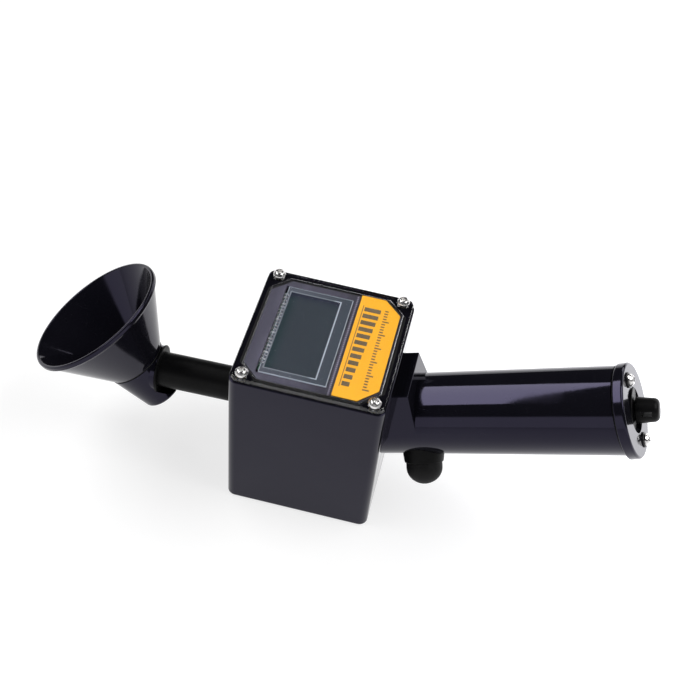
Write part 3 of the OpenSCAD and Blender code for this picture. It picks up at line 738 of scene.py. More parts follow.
def bezel_plastic(name, base):
    """Satin bezel, paler at the neck's side, with a row of fine moulded studs beside the display."""
    look = Finish(name, {"IOR": 1.5})
    x, y, _ = look.axes()
    edge = GLASS_HIGH.x / MM
    dots = (y / 1.1).fraction().within(0.25, 0.7, 0.08) * x.within(edge + 1.2, edge + 1.9, 0.12)
    far = x.rise(-8.0, 12.0)
    streak = look.noise(240, 3, 0.6, look.place((1, 0.16, 1))).rise(0.4, 0.75)
    deep = tuple(c * 0.45 for c in base)
    pale = tuple(min(1.0, c * 1.7) for c in base)
    tone = look.mix(streak * 0.5, look.mix(far, base, deep), look.mix(far, pale, base))
    return look.set({
        "Base Color": look.mix(dots * 0.7, tone, (0.36, 0.33, 0.42)),
        "Roughness": 0.3 + streak * 0.08,
        "Normal": look.bump(look.noise(1500, 3, 0.5), 0.01 * MM, 0.4),
    })


def edge_gap(look, low, high):
    """Distance in millimetres from the nearest side of a box in X and Y, positive inside it."""
    x, y, _ = look.axes()
    across = x.sum("MINIMUM", x - low.x / MM, high.x / MM - x)
    along = y.sum("MINIMUM", y - low.y / MM, high.y / MM - y)
    return across.sum("MINIMUM", across, along), x, y


def display_glass(name):
    """Smoky display glass with painted highlight lines along its edges and along the film's hem."""
    look = Finish(name, {"IOR": 1.52})
    rim, x, y = edge_gap(look, GLASS_LOW, GLASS_HIGH)
    hem, x, y = edge_gap(look, FILM_LOW, FILM_HIGH)
    # Painted highlight: pale lines along the glass's edges and along the film's hem, the hem's line stronger
    # towards +X.
    painted_edge_highlight = 1 - rim.rise(0.25, 0.5)
    seal = 1 - (hem + 0.35).sum("ABSOLUTE", hem + 0.35).rise(0.2, 0.38)
    painted_highlight_lines = painted_edge_highlight.sum("MAXIMUM", painted_edge_highlight, seal * (0.35 + x.rise(-2, 0) * 0.65))
    shade = look.mix(x.rise(-20, 8), (0.06, 0.066, 0.08), (0.04, 0.048, 0.058))
    return look.set({
        "Base Color": look.mix(painted_highlight_lines * 0.8, shade, (0.36, 0.4, 0.44)),
        "Roughness": 0.1 + look.noise(900, 3, 0.5) * 0.05,
        "Normal": look.bump(look.noise(500, 2, 0.5), 0.008 * MM, 0.4),
    })


def display_film(name, grey):
    """Unlit display: a grey-blue film with a faint dot matrix, darker and greener towards its left edge, and a
    painted shadow band along its far edge under the lid's border.
    """
    look = Finish(name, {"IOR": 1.5})
    hem, x, y = edge_gap(look, FILM_LOW, FILM_HIGH)
    left = 1 - x.rise(FILM_LOW.x / MM + 0.5, FILM_LOW.x / MM + 5)
    # Painted shadow: a darker band along the film's far edge, where the lid's border shades it.
    far = y.rise(FILM_HIGH.y / MM - 5, FILM_HIGH.y / MM - 1)
    pixel = (x / 0.36).fraction().within(0.1, 0.9, 0.06) * (y / 0.36).fraction().within(0.1, 0.9, 0.06)
    active = hem.rise(1.6, 1.8)
    deep = (grey[0] * 0.45, grey[1] * 0.72, grey[2] * 0.68)
    cast = look.mix(left * 0.8, grey, deep)
    cast = look.mix(far * 0.65, cast, (grey[0] * 0.55, grey[1] * 0.45, grey[2] * 0.75))
    lit = tuple(min(1.0, c * 1.12) for c in grey)
    return look.set({
        "Base Color": look.mix(pixel * active * 0.35, cast, lit),
        "Roughness": 0.16 + look.noise(1200, 3, 0.5) * 0.05,
        "Normal": look.bump(pixel, 0.002 * MM, 0.3),
    })


def circuit_board(name, base):
    """Solder mask with copper traces and tinned pads under it."""
    look = Finish(name, {"IOR": 1.5})
    x, y, _ = look.axes()
    wander = look.noise(120, 2, 0.5)
    lane = (x * 0.55 + wander * 3.5).fraction().within(0.2, 0.62, 0.05)
    cross = (y * 0.5 + wander * 2.0).fraction().within(0.25, 0.5, 0.05)
    along = lane * look.noise(90, 1).rise(0.48, 0.52)
    across = cross * look.noise(110, 1).rise(0.5, 0.54)
    trace = lane.sum("MAXIMUM", along, across)
    spots = look.add("TexVoronoi", {"feature": "F1"}, {"Vector": look.place(), "Scale": 330})
    pad = 1 - spots.rise(0.16, 0.2)
    copper = tuple(min(1.0, c * 1.9 + 0.01) for c in base)
    tone = look.mix(trace, base, copper)
    return look.set({
        "Base Color": look.mix(pad, tone, (0.7, 0.68, 0.6)),
        "Metallic": pad * 0.9,
        "Roughness": 0.34 - pad * 0.1,
        "Normal": look.bump(trace + pad, 0.03 * MM, 0.5),
    })


def battery_can(name, base):
    """Printed steel can with a plain pale band."""
    look = Finish(name, {"IOR": 1.5, "Coat Roughness": 0.12})
    spot = look.place((1 / MM, 1 / MM, 1 / MM))
    axis = Vector(joint("knob_turn")["axis"])
    along = look.add("VectorMath", {"operation": "DOT_PRODUCT"}, {0: spot, 1: tuple(axis)}, out="Value")
    low = min(v.co.dot(axis) for v in frame["nodes"]["battery"].data.vertices) / MM
    band = along.within(low + 30, low + 40, 0.15)
    ring = along.within(low + 28.6, low + 29.2, 0.1)
    worn = look.noise(900, 4, 0.6).rise(0.62, 0.7)
    tone = look.mix(band, base, (0.55, 0.56, 0.58))
    tone = look.mix(ring, tone, (0.5, 0.26, 0.07))
    return look.set({
        "Base Color": look.mix(worn * 0.3, tone, (0.4, 0.4, 0.4)),
        "Metallic": 0.35 + worn * 0.4,
        "Roughness": 0.3 + worn * 0.1,
        "Coat Weight": 0.4 - worn * 0.2,
    })


def floor_panel(name, white, painted_pool_centre):
    """Pale floor that glows evenly, with a painted glow pool behind the handle's end that stands in for a lamp."""
    look = Finish(name, {"Specular IOR Level": 0.0, "Emission Strength": 1.0})
    fibre = look.noise(500, 4, 0.6)
    spot = look.add("TexCoord", out="Object")
    away = look.add("VectorMath", {"operation": "DISTANCE"}, {0: spot, 1: painted_pool_centre}, out="Value")
    # Painted light: the emission rises to a bright pool round the given point, in place of a lamp.
    painted_glow_pool = look.mix(away.rise(0.1, 0.42), (1.7, 1.7, 1.75), (0.72, 0.72, 0.72))
    return look.set({
        "Base Color": look.mix(fibre * 0.5, white, tuple(c * 0.985 for c in white)),
        "Roughness": 0.9 + fibre * 0.05,
        "Emission Color": painted_glow_pool,
    })


FINISHES = {}


def build_finishes():
    scene = bpy.context.scene
    black = tuple(scene.tester_case.plastic)
    matte = tuple(scene.tester_cup.matte)
    window = scene.tester_window
    FINISHES.update({
        "case_black": gloss_plastic("Case black", black, index=1.33, tint=(0.6, 0.55, 1.0)),
        "handle_black": gloss_plastic("Handle black", black, 0.06, 0.1),
        "cup_black": gloss_plastic("Cup black", black, 0.085, 0.3),
        "cap_black": gloss_plastic("Cap black", black, 0.1, 0.1),
        "matte_black": matte_plastic("Matte black", matte, 0.4),
        "knob_black": matte_plastic("Knob black", matte, 0.36, 0.02),
        "boot_rubber": moulded_rubber("Boot rubber", tuple(scene.tester_button.rubber)),
        "seal_rubber": moulded_rubber("Seal rubber", (0.012, 0.012, 0.012)),
        "foam": foam("Foam", (0.08, 0.08, 0.08)),
        "clear_lid": clear_plastic("Clear lid"),
        "label_yellow": label_print("Label", tuple(window.label_yellow), tuple(window.label_ink)),
        "bezel_grey": bezel_plastic("Bezel", tuple(window.bezel_grey)),
        "lcd_glass": display_glass("Display glass"),
        "lcd_grey": display_film("Display film", tuple(window.film_grey)),
        "tinned": plated_metal("Tinned metal", (0.86, 0.86, 0.88), 0.2),
        "steel": plated_metal("Nickel plate", (0.78, 0.77, 0.76), 0.16),
        "brass": plated_metal("Brass", (0.78, 0.58, 0.26), 0.24),
        "board_green": circuit_board("Board", (0.012, 0.07, 0.03)),
        "chip_black": matte_plastic("Chip resin", (0.02, 0.02, 0.022), 0.5, 0.02, 4000),
        "socket_ivory": matte_plastic("Ivory nylon", (0.72, 0.68, 0.56), 0.4, 0.01),
        "ribbon_grey": matte_plastic("Flat cable", (0.32, 0.32, 0.34), 0.45, 0.02),
        "wire_red": matte_plastic("Red wire", (0.42, 0.02, 0.015), 0.35, 0.01),
        "wire_blue": matte_plastic("Blue wire", (0.03, 0.05, 0.32), 0.35, 0.01),
        "battery_skin": battery_can("Battery can", (0.03, 0.035, 0.045)),
        "washer_black": plated_metal("Black oxide", (0.05, 0.05, 0.052), 0.32, 0.9),
        "plunger_white": matte_plastic("White acetal", (0.78, 0.78, 0.75), 0.3, 0.01),
        "switch_blue": matte_plastic("Switch body", (0.02, 0.035, 0.1), 0.35, 0.01),
    })


# ---------------------------------------------------------------- pieces


class TesterOperator:
    """What the tester's operators share."""

    bl_options = {"REGISTER", "UNDO"}

    def execute(self, context):
        self.build(context.scene)
        return {"FINISHED"}


class TESTER_OT_finishes(TesterOperator, bpy.types.Operator):
    """Mixes every finish and coats the CAD nodes that stay"""

    bl_idname = "tester.finishes"
    bl_label = "Finishes"

    def build(self, scene):
        build_finishes()
        for name, node in frame["nodes"].items():
            node.data.materials.clear()
            node.data.materials.append(FINISHES[slot_of(name)])


class TESTER_OT_case(TesterOperator, bpy.types.Operator):
    """Makes the case with its draft, rounded edges, rim pocket and screw posts"""

    bl_idname = "tester.case"
    bl_label = "Case"

    def build(self, scene):
        case = scene.tester_case
        height = CASE_HIGH.z

        def outer(inset, z):
            share = (height - z) / (height - case.foot_edge)
            shape = rounded_box(
                CASE_HIGH.x - case.lean_x * share, CASE_HIGH.y - case.lean_y * share, case.corner, 12
            )
            return shape(inset)

        def inner(inset, z):
            share = (height - z) / (height - case.foot_edge)
            x = CASE_HIGH.x - case.lean_x * share - case.wall
            y = CASE_HIGH.y - case.lean_y * share - case.wall
            return rounded_box(x, y, 1.5 * MM, 6)(inset)

        body = slab(outer, 0, height, case.foot_edge, case.rim_edge, 8)
        shelf_top = POCKET_LOW.z
        shelf_foot = shelf_top - 3 * MM
        pocket = cut_box(POCKET_HIGH.x, POCKET_HIGH.y, case.pocket_cut, 0.6 * MM)
        ledge = BEZEL_HIGH.x - case.shelf, BEZEL_HIGH.y - case.shelf, case.pocket_cut - 2.5 * MM
        room = slab(inner, case.floor, shelf_foot)
        posts = [
            moved(drum(4.4 * MM, height - 22 * MM, height, 48), Matrix.Translation(spot))
            for spot in lid_screw_places()
        ]
        room = carve(room, *posts)
        neck, length, radius = neck_place()
        cuts = [
            slab(pocket, shelf_top, height + MM),
            slab(cut_box(*ledge), shelf_foot - MM, shelf_top + MM),
            room,
            moved(drum(radius + 0.1 * MM, 8 * MM, 16 * MM), neck),
        ]
        make(carve(body, *cuts), "case", "case_shell", FINISHES["case_black"])


class TESTER_OT_lid(TesterOperator, bpy.types.Operator):
    """Makes the clear lid with its hollow, screw holes and screws"""

    bl_idname = "tester.lid"
    bl_label = "Lid and screws"

    def build(self, scene):
        window = scene.tester_window
        corner = scene.tester_case.corner - (CASE_HIGH.x - LID_HIGH.x)
        plate = slab(
            rounded_box(LID_HIGH.x, LID_HIGH.y, corner, 12), LID_LOW.z, LID_HIGH.z, 0.2 * MM, window.lid_edge
        )
        hollow = cut_box(
            LID_HIGH.x - window.border_x, LID_HIGH.y - window.border_y,
            scene.tester_case.pocket_cut - 1.4 * MM, 0.8 * MM, 6,
        )
        places = lid_screw_places()
        cuts = [slab(hollow, LID_LOW.z - MM, LID_HIGH.z - window.lid_skin, 0, 0.4 * MM)]
        for spot in places:
            hole = drum(window.screw_hole, LID_LOW.z - MM, LID_HIGH.z + MM, 48)
            cuts.append(moved(hole, Matrix.Translation(spot)))
        lid = make(carve(plate, *cuts), "clear_lid", "lid", FINISHES["clear_lid"])
        lid.visible_shadow = False
        low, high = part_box("lid_screws")
        screw = scratch(pan_screw(1.45 * MM, LID_HIGH.z - low.z, window.screw_head, high.z - LID_HIGH.z))
        steel = FINISHES["steel"]
        data = scatter_tree().grow(places, Part=screw, Seed=4, Finish=steel)
        bpy.data.objects.remove(screw)
        data.transform(Matrix.Translation((0, 0, LID_HIGH.z)))
        finished(data, "lid_screw_set", "lid_screws", steel)


def pan_screw(shank, length, radius, height):
    """Pan-head screw with a cross recess: its seat at z = 0, its shank below."""
    head = lathe(
        [
            (0, -length, 0), (shank - 0.2 * MM, -length, 0), (shank, -length + 0.4 * MM, 0), (shank, 0, 0),
            (radius, 0, 0.15 * MM), (radius, height * 0.42, height * 0.3),
            (radius * 0.62, height, height * 0.5), (0, height, 0),
        ],
        64, 8,
    )
    cuts = []
    for angle in (0, math.pi / 2):
        blade = bmesh.new()
        bmesh.ops.create_cube(blade, size=1)
        blade.transform(Matrix.Diagonal((radius * 1.15, radius * 0.27, height, 1)))
        blade.transform(Matrix.Translation((0, 0, height * 0.98)))
        cuts.append(moved(blade, Matrix.Rotation(angle, 4, "Z")))
    pit = lathe(
        [(0, height * 0.3, 0), (radius * 0.2, height * 0.42, 0), (radius * 0.42, height * 1.1, 0),
         (0, height * 1.1, 0)], 32,
    )
    return carve(head, pit, *cuts)


class TESTER_OT_label(TesterOperator, bpy.types.Operator):
    """Makes the yellow label plate"""

    bl_idname = "tester.label"
    bl_label = "Label"

    def build(self, scene):
        cut = scene.tester_window.label_cut
        small = 0.5 * MM

        def shape(inset, z):
            left, right = LABEL_LOW.x + inset, LABEL_HIGH.x - inset
            y = LABEL_HIGH.y - inset
            c = cut - (2 - math.sqrt(2)) * inset
            return outline([
                (left, -y, small), (right - c, -y, small), (right, -y + c, small),
                (right, y - c, small), (right - c, y, small), (left, y, small),
            ], 4)

        plate = slab(shape, LABEL_LOW.z, LABEL_HIGH.z, 0.05 * MM, 0.08 * MM, 3)
        make(plate, "label", "label_plate", FINISHES["label_yellow"])


class TESTER_OT_display(TesterOperator, bpy.types.Operator):
    """Makes the display: its bezel, glass, film and row of edge pins"""

    bl_idname = "tester.display"
    bl_label = "Display"

    def build(self, scene):
        window = scene.tester_window
        case = scene.tester_case
        inset = POCKET_HIGH.x - BEZEL_HIGH.x
        plate = slab(
            cut_box(BEZEL_HIGH.x, BEZEL_HIGH.y, case.pocket_cut - (2 - math.sqrt(2)) * inset, 0.4 * MM),
            BEZEL_LOW.z, BEZEL_HIGH.z, 0.1 * MM, 0.25 * MM, 4,
        )
        gap = 0.2 * MM
        left, right = PINS_LOW.x - 0.3 * MM, GLASS_HIGH.x + gap
        half = GLASS_HIGH.y + gap
        hole = slab(
            rounded_box((right - left) / 2, half, 0.3 * MM, 4), BEZEL_LOW.z - MM, BEZEL_HIGH.z + MM
        )
        plate = carve(plate, moved(hole, Matrix.Translation(((left + right) / 2, 0, 0))))
        make(plate, "bezel", "display_bezel", FINISHES["bezel_grey"])
        for low, high, edge, name, node, finish in (
            (GLASS_LOW, GLASS_HIGH, 0.3 * MM, "glass_block", "lcd_glass", "lcd_glass"),
            (FILM_LOW, FILM_HIGH, 0.04 * MM, "film_sheet", "lcd_film", "lcd_grey"),
        ):
            middle = (low + high) / 2
            shape = rounded_box((high.x - low.x) / 2, (high.y - low.y) / 2, 0.4 * MM, 5)
            block = slab(shape, low.z, high.z, edge / 3, edge, 4)
            make(block, name, node, FINISHES[finish], Matrix.Translation((middle.x, middle.y, 0)))
        self.pins(window)

    def pins(self, window):
        """A bent pin, and the row of its copies."""
        foot = PINS_LOW.z
        top = PINS_HIGH.z
        thick = 0.3 * MM
        reach = PINS_HIGH.x - PINS_LOW.x
        width = 0.7 * MM
        side = outline([
            (0, foot, 0), (thick, foot, 0), (thick, top - thick, 0.05 * MM), (reach, top - thick, 0),
            (reach, top, 0.1 * MM), (0, top, 0.28 * MM),
        ], 5)
        rings = []
        for shift, shrink in ((-0.5, 0.9), (-0.42, 1), (0.42, 1), (0.5, 0.9)):
            middle = Vector((reach / 2, (foot + top) / 2))
            ring = [middle + (p - middle) * (1 if shrink == 1 else 0.995) for p in side]
            rings.append([(p.x, shift * width, p.y) for p in ring])
        pin = scratch(stacked(rings))
        tin = FINISHES["tinned"]
        data = comb_tree().grow(
            [(0, 0, 0)], Part=pin, Count=window.pin_count, Pitch=window.pin_pitch, Finish=tin
        )
        bpy.data.objects.remove(pin)
        first = -(window.pin_count - 1) / 2 * window.pin_pitch
        data.transform(Matrix.Translation((PINS_LOW.x, first, 0)))
        finished(data, "pin_row", "lcd_pins", tin)


class TESTER_OT_neck(TesterOperator, bpy.types.Operator):
    """Makes the neck tube and its collar"""

    bl_idname = "tester.neck"
    bl_label = "Neck"

    def build(self, scene):
        cup = scene.tester_cup
        place, length, radius = neck_place()
        bore = cup.neck_bore
        edge = 0.3 * MM
        tube = lathe([
            (bore, 0, edge), (radius, 0, edge), (radius, length, edge), (bore, length, edge),
        ], 96, 3)
        make(tube, "neck", "neck_tube", FINISHES["matte_black"], place)
        low, high = measured("neck_collar", place)
        ring = lathe([
            (radius + 0.05 * MM, low.z, 0), (high.y - 0.3 * MM, low.z, 0.2 * MM),
            (high.y, low.z + 0.3 * MM, 0.2 * MM),
            (high.y, high.z, 0.2 * MM), (radius + 0.05 * MM, high.z, 0),
        ], 96, 4)
        make(ring, "collar", "neck_collar", FINISHES["matte_black"], place)


class TESTER_OT_cup(TesterOperator, bpy.types.Operator):
    """Makes the funnel cup, its seam ring and its closed stub"""

    bl_idname = "tester.cup"
    bl_label = "Cup"

    def build(self, scene):
        cup = scene.tester_cup
        place = cup_place()
        rim = measured("cup", place)[1].y - ROUNDED_IN
        wall_top = rim - cup.bead
        throat = cup.seam - cup.wall - 2.4 * MM
        deep = cup.depth
        funnel = lathe([
            (cup.seam, -deep, 0.2 * MM), (wall_top, -3 * MM, 1.2 * MM), (rim, -2 * MM, 0.5 * MM),
            (rim, 0, 0.75 * MM), (wall_top + 0.1 * MM, 0, 0.5 * MM),
            (wall_top - 0.4 * MM, -0.7 * MM, 0.6 * MM),
            (throat, -deep, 0.2 * MM),
        ], 192, 8)
        make(funnel, "funnel", "cup", FINISHES["cup_black"], place)
        seal_low, seal_high = measured("cup_seal", place)
        seal = lathe([
            (throat, seal_low.z, 0), (seal_high.y, seal_low.z, 0.1 * MM),
            (seal_high.y, seal_high.z, 0.1 * MM),
            (throat, seal_high.z, 0),
        ], 128, 3)
        make(seal, "seam_ring", "cup_seal", FINISHES["seal_rubber"], place)
        self.stub(cup, place, throat, seal_low.z)

    def stub(self, cup, place, throat, top):
        foot = -cup.depth - cup.stub
        well = -cup.depth - 4.8 * MM
        solid = moved(lathe([
            (0, foot, 0), (cup.stub_end, foot, 2.2 * MM), (cup.seam, top, 0.15 * MM), (0, top, 0),
        ], 128, 10), place)
        neck, length, radius = neck_place()
        collar_high = measured("neck_collar", neck)[1]
        start = collar_high.z
        socket = lathe([
            (0, start, 0), (collar_high.y - 0.4 * MM, start, 0.3 * MM),
            (collar_high.y - 0.4 * MM, start + 9.5 * MM, 0.3 * MM),
            (0, start + 9.5 * MM, 0),
        ], 96, 4)
        keep = drum(30 * MM, foot, top, 64)
        socket = carve(moved(socket, neck), moved(keep, place), operation="INTERSECT")
        solid = carve(solid, socket, operation="UNION")
        mouth = top + 0.02 * MM
        hollow = lathe([(0, well, 0), (5.5 * MM, well, 0.8 * MM), (throat, mouth, 0), (0, mouth, 0)], 96, 5)
        seat = drum(radius + 0.05 * MM, start - MM, length)
        spot_face = drum(collar_high.y + 0.05 * MM, start - 12 * MM, start)
        make(
            carve(solid, moved(hollow, place), moved(seat, neck), moved(spot_face, neck)),
            "stub", "cup_base", FINISHES["cup_black"],
        )


class TESTER_OT_handle(TesterOperator, bpy.types.Operator):
    """Makes the handle: one moulding of a tapered tube and a flat-topped lug"""

    bl_idname = "tester.handle"
    bl_label = "Handle"

    def build(self, scene):
        handle = scene.tester_handle
        place = handle_place()
        root = handle.root_radius
        end = handle.length + 4 * MM
        tip = root + (handle.end_radius - root) * end / handle.length
        tube = lathe([(0, -20 * MM, 0), (root, -20 * MM, 0), (root, 0, 0), (tip, end, 0), (0, end, 0)], 192)
        solid = carve(tube, self.lug(handle), operation="UNION")
        bore = drum(handle.bore, 0, end + MM, 96)
        channel = drum(4.6 * MM, -14 * MM, MM, 48)
        solid = carve(moved(solid, place), moved(bore, place), moved(channel, place), self.wall_block())
        face = face_place()
        depth = handle.cap_thickness + handle.gasket
        waste = slab(rounded_box(40 * MM, 40 * MM, MM, 2), -depth, 30 * MM)
        make(
            carve(solid, moved(waste, face)), "handle_moulding", "handle_shell",
            FINISHES["handle_black"], sharp=28,
        )

    def lug(self, handle):
        """The lug's flat top and its flanks, which meet the tube as tangents."""
        root, half, top = handle.root_radius, handle.lug_half, handle.lug_top
        reach = math.hypot(half, top)
        around = math.atan2(half, top) + math.acos(root / reach)
        side, rise = root * math.sin(around), root * math.cos(around)
        edge = 0.5 * MM

        def shape(inset, z):
            return outline([
                (-rise, side - inset, 0), (-top + inset, half - inset, edge),
                (-top + inset, -half + inset, edge),
                (-rise, -side + inset, 0),
            ], 5)

        return slab(shape, -24 * MM, handle.lug_length, 0, 0.4 * MM, 4)

    def wall_block(self):
        """The space left of the case's end wall, where the lug is cut off flush."""
        case = bpy.context.scene.tester_case
        lean = math.atan(case.lean_x / (CASE_HIGH.z - case.foot_edge))
        block = slab(rounded_box(30 * MM, 40 * MM, MM, 2), -120 * MM, 40 * MM)
        block = moved(block, Matrix.Translation((-30 * MM, 0, 0)))
        return moved(block, Matrix.Translation((CASE_HIGH.x, 0, CASE_HIGH.z)) @ leaning(lean))


class TESTER_OT_end(TesterOperator, bpy.types.Operator):
    """Makes the end cap with its screws and washers, and the knob"""

    bl_idname = "tester.end"
    bl_label = "End cap and knob"

    def build(self, scene):
        handle = scene.tester_handle
        face, end = face_place(), end_place()
        thick, radius = handle.cap_thickness, handle.cap_radius - TRIMMED_IN
        disc = lathe([
            (0, -thick, 0), (radius, -thick, 0.6 * MM), (radius, 0, 1.1 * MM), (0, 0, 0),
        ], 192, 8)
        spigot_out = handle.bore - 1.3 * MM
        spigot_in = handle.bore - 3.1 * MM
        spigot = lathe([
            (spigot_in, -thick - 2.6 * MM, 0.2 * MM), (spigot_out, -thick - 2.6 * MM, 0.3 * MM),
            (spigot_out, -thick + 0.2 * MM, 0), (spigot_in, -thick + 0.2 * MM, 0),
        ], 96, 3)
        solid = carve(moved(disc, face), moved(spigot, face), operation="UNION")
        knob_low = measured("knob", end)[0]
        recess = drum(handle.flange + 0.2 * MM, knob_low.z - 0.05 * MM, 8 * MM)
        bolt = drum(2.55 * MM, -12 * MM, 8 * MM, 48)
        places = []
        cuts = [moved(recess, end), moved(bolt, end)]
        for side in (0, math.pi):
            spot = Matrix.Rotation(side - handle.screw_turn, 4, "Z") @ Vector((handle.screw_out, 0, 0))
            places.append(tuple(spot))
            hole = moved(drum(1.6 * MM, -12 * MM, 4 * MM, 32), Matrix.Translation(spot))
            cuts.append(moved(hole, face))
        make(carve(solid, *cuts), "cap_disc", "end_cap", FINISHES["cap_black"])
        self.fasteners(face, places)
        self.knob(handle, end)

    def fasteners(self, face, places):
        high = measured("end_washers", face)[1]
        hole, rim = 1.6 * MM, 3.3 * MM
        washer = scratch(lathe([
            (hole, 0, 0.08 * MM), (rim, 0, 0.08 * MM), (rim, high.z, 0.15 * MM), (hole, high.z, 0.1 * MM),
        ], 64, 3))
        shank, top = measured("end_screws", face)
        screw = scratch(pan_screw(1.4 * MM, high.z - shank.z, 2.7 * MM, top.z - high.z))
        growth = scatter_tree()
        for part, seat, name, node, finish in (
            (washer, 0, "end_washer_set", "end_washers", FINISHES["washer_black"]),
            (screw, high.z, "end_screw_set", "end_screws", FINISHES["steel"]),
        ):
            data = growth.grow(places, Part=part, Seed=7, Finish=finish)
            bpy.data.objects.remove(part)
            data.transform(face @ Matrix.Translation((0, 0, seat)))
            finished(data, name, node, finish)

    def knob(self, handle, end):
        low, high = measured("knob", end)
        flange_top = low.z + handle.flange_thickness
        grip_root = high.z - handle.knob_length
        tip = high.z
        waist = handle.knob_root - 1.2 * MM
        solid = lathe([
            (0, low.z, 0), (handle.flange, low.z, 0.2 * MM), (handle.flange, flange_top, 0.35 * MM),
            (waist, flange_top, 0.3 * MM), (waist, grip_root, 0.2 * MM),
            (handle.knob_root, grip_root, 0.5 * MM),
            (handle.knob_root - 0.1 * MM, grip_root + 2.2 * MM, 1.5 * MM),
            (handle.knob_tip, tip, 2.4 * MM), (0, tip, 0),
        ], 128, 8)
        slot = bmesh.new()
        bmesh.ops.create_cube(slot, size=1)
        slot.transform(Matrix.Diagonal((20 * MM, 2 * MM, 4.4 * MM, 1)))
        slot.transform(Matrix.Translation((0, 0, grip_root + 4.8 * MM)))
        slot.transform(Matrix.Rotation(math.radians(180 + 65), 4, "Z"))
        stud = drum(2.5 * MM, low.z - MM, grip_root + 2 * MM, 48)
        make(carve(solid, slot, stud), "knob_grip", "knob", FINISHES["knob_black"], end, "knob")


class TESTER_OT_button(TesterOperator, bpy.types.Operator):
    """Makes the button's collar and its rubber boot"""

    bl_idname = "tester.button"
    bl_label = "Push button"

    def build(self, scene):
        button = scene.tester_button
        place = button_place()
        foot = 12 * MM
        top = button.collar_top
        inner = button.boot + 0.15 * MM
        ring = lathe([
            (inner, foot, 0), (button.collar + 0.9 * MM, foot, 0), (button.collar - 0.5 * MM, top, 0.45 * MM),
            (inner, top, 0.2 * MM),
        ], 128, 5)
        handle, reach = scene.tester_handle, 60 * MM
        near = handle.root_radius + 0.12 * MM
        far = near + (handle.end_radius - handle.root_radius) * reach / handle.length
        tube = lathe([(0, -reach, 0), (near, -reach, 0), (near, 0, 0), (far, reach, 0), (0, reach, 0)], 192)
        ring = carve(moved(ring, place), moved(tube, handle_place()))
        make(ring, "button_ring", "button_collar", FINISHES["matte_black"])
        low = measured("button_boot", place)[0]
        radius, dome = button.boot, button.boot - 0.6 * MM
        shoulder = button.tip - dome
        bore, roof = 6.3 * MM, 24.2 * MM
        profile = [(bore, low.z, 0), (radius, low.z, 0.2 * MM), (radius, shoulder - 3.4 * MM, 0.3 * MM)]
        groove = radius - 0.25 * MM
        profile += [(groove, shoulder - 3.1 * MM, 0.2 * MM), (groove, shoulder - 2.6 * MM, 0.2 * MM)]
        profile += [(radius, shoulder - 2.3 * MM, 0.3 * MM)]
        steps = 14
        for k in range(steps + 1):
            angle = math.pi / 2 * k / steps
            out = radius * math.cos(angle) if k < steps else 0
            profile.append((out, shoulder + dome * math.sin(angle), 0))
        profile += [(0, roof, 0), (bore, roof, 0.5 * MM)]
        boot = lathe(profile, 96, 4)
        make(boot, "boot", "button_boot", FINISHES["boot_rubber"], place, "button")


# ---------------------------------------------------------------- stage


def toward(azimuth, elevation):
    """Direction from the tester, azimuth 0 to the front and turning to the right."""
    flat = math.cos(elevation)
    return Vector((math.sin(azimuth) * flat, -math.cos(azimuth) * flat, math.sin(elevation)))


def softbox(name, azimuth, elevation, distance, width, height, radiance):
    """Area lamp that faces the tester."""
    lamp = bpy.data.lights.new(name, "AREA")
    lamp.shape = "RECTANGLE"
    lamp.size = width
    lamp.size_y = height
    lamp.energy = radiance * math.pi * width * height
    holder = bpy.data.objects.new(name, lamp)
    bpy.context.scene.collection.objects.link(holder)
    away = toward(math.radians(azimuth), math.radians(elevation))
    holder.location = away * distance
    holder.rotation_euler = away.to_track_quat("Z", "Y").to_euler()
    return holder


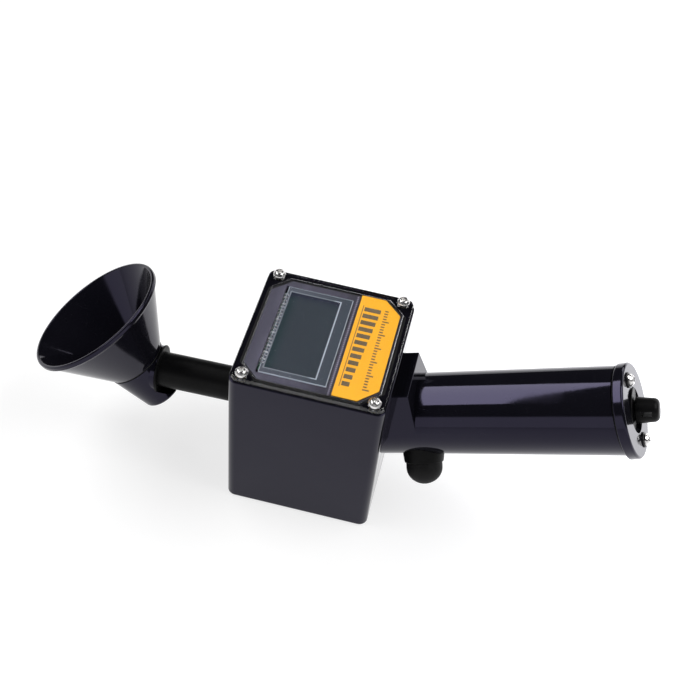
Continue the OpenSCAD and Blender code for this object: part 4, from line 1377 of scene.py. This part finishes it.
class TESTER_OT_stage(TesterOperator, bpy.types.Operator):
    """Lays the floor, hangs the lights and sets the camera"""

    bl_idname = "tester.stage"
    bl_label = "Stage"

    def build(self, scene):
        stage = scene.tester_stage
        self.floor(stage)
        self.lights(scene)
        self.camera(scene, stage)

    def floor(self, stage):
        mesh = bmesh.new()
        bmesh.ops.create_grid(mesh, x_segments=1, y_segments=1, size=4)
        data = bpy.data.meshes.new("floor")
        mesh.to_mesh(data)
        mesh.free()
        # Centre of the floor's painted glow pool.
        painted_pool_centre = (stage.painted_pool_x, stage.painted_pool_y, 0)
        data.materials.append(floor_panel("Floor with painted glow pool", tuple(stage.floor_white), painted_pool_centre))
        floor = bpy.data.objects.new("floor", data)
        bpy.context.scene.collection.objects.link(floor)

    def lights(self, scene):
        world = bpy.data.worlds.new("Studio")
        scene.world = world
        world.use_nodes = True
        air = Sheet(world.node_tree)
        ray = air.add("TexCoord", out="Generated")
        height, depth = [air.add("SeparateXYZ", sockets={"Vector": ray}, out=axis) for axis in "ZY"]
        edge = height + depth * 0.34
        tone = air.mix(edge.rise(0.09, 0.17), (1.3, 1.3, 1.3), (0.02, 0.019, 0.025))
        # Reflections see the graded studio, and the backdrop itself is plain white.
        seen = air.add("LightPath", out="Is Camera Ray")
        sky = air.add("Background", sockets={"Color": air.mix(seen, tone, (1.0, 1.0, 1.0)), "Strength": 1.0})
        output = world.node_tree.nodes.new("ShaderNodeOutputWorld")
        world.node_tree.links.new(sky.socket, output.inputs["Surface"])
        softbox("left_softbox", -100, 54, 1.3, 1.3, 0.42, 6.4)
        softbox("right_softbox", 98, 56, 1.3, 0.8, 0.8, 5.0)
        softbox("back_wash", 150, 24, 1.5, 1.6, 0.4, 2.5)
        scene.view_settings.view_transform = "Standard"

    def camera(self, scene, stage):
        back = toward(stage.azimuth, stage.elevation)
        right = Vector((0, 0, 1)).cross(back).normalized()
        up = back.cross(right)
        c, s = math.cos(stage.roll), math.sin(stage.roll)
        axes = Matrix((c * right + s * up, c * up - s * right, back)).transposed()
        lens = bpy.data.cameras.new("camera")
        lens.sensor_width = 36
        lens.lens = stage.lens
        lens.clip_start = 0.01
        camera = bpy.data.objects.new("camera", lens)
        aim = Vector((stage.aim_x, stage.aim_y, stage.aim_z))
        camera.matrix_world = Matrix.Translation(aim + back * stage.distance) @ axes.to_4x4()
        scene.collection.objects.link(camera)
        scene.camera = camera


# ---------------------------------------------------------------- panel and run


OPERATORS = (
    TESTER_OT_finishes,
    TESTER_OT_case,
    TESTER_OT_lid,
    TESTER_OT_label,
    TESTER_OT_display,
    TESTER_OT_neck,
    TESTER_OT_cup,
    TESTER_OT_handle,
    TESTER_OT_end,
    TESTER_OT_button,
    TESTER_OT_stage,
)


class TESTER_PT_panel(bpy.types.Panel):
    """Lists the tester's steps and settings"""

    bl_idname = "TESTER_PT_panel"
    bl_label = "Milk Tester"
    bl_space_type = "VIEW_3D"
    bl_region_type = "UI"
    bl_category = "Tester"

    def draw(self, context):
        for operator in OPERATORS:
            self.layout.operator(operator.bl_idname)
        for name, group in SETTINGS.items():
            box = self.layout.box()
            box.label(text=name.replace("tester_", "").title())
            for key in group.__annotations__:
                box.prop(getattr(context.scene, name), key)


CLASSES = (*SETTINGS.values(), *OPERATORS, TESTER_PT_panel)


def register():
    for cls in CLASSES:
        bpy.utils.register_class(cls)
    for name, group in SETTINGS.items():
        setattr(bpy.types.Scene, name, PointerProperty(type=group))


def unregister():
    for name in SETTINGS:
        delattr(bpy.types.Scene, name)
    for cls in reversed(CLASSES):
        bpy.utils.unregister_class(cls)


def main():
    register()
    for operator in OPERATORS:
        family, step = operator.bl_idname.split(".")
        getattr(getattr(bpy.ops, family), step)()


if __name__ == "__main__":
    main()
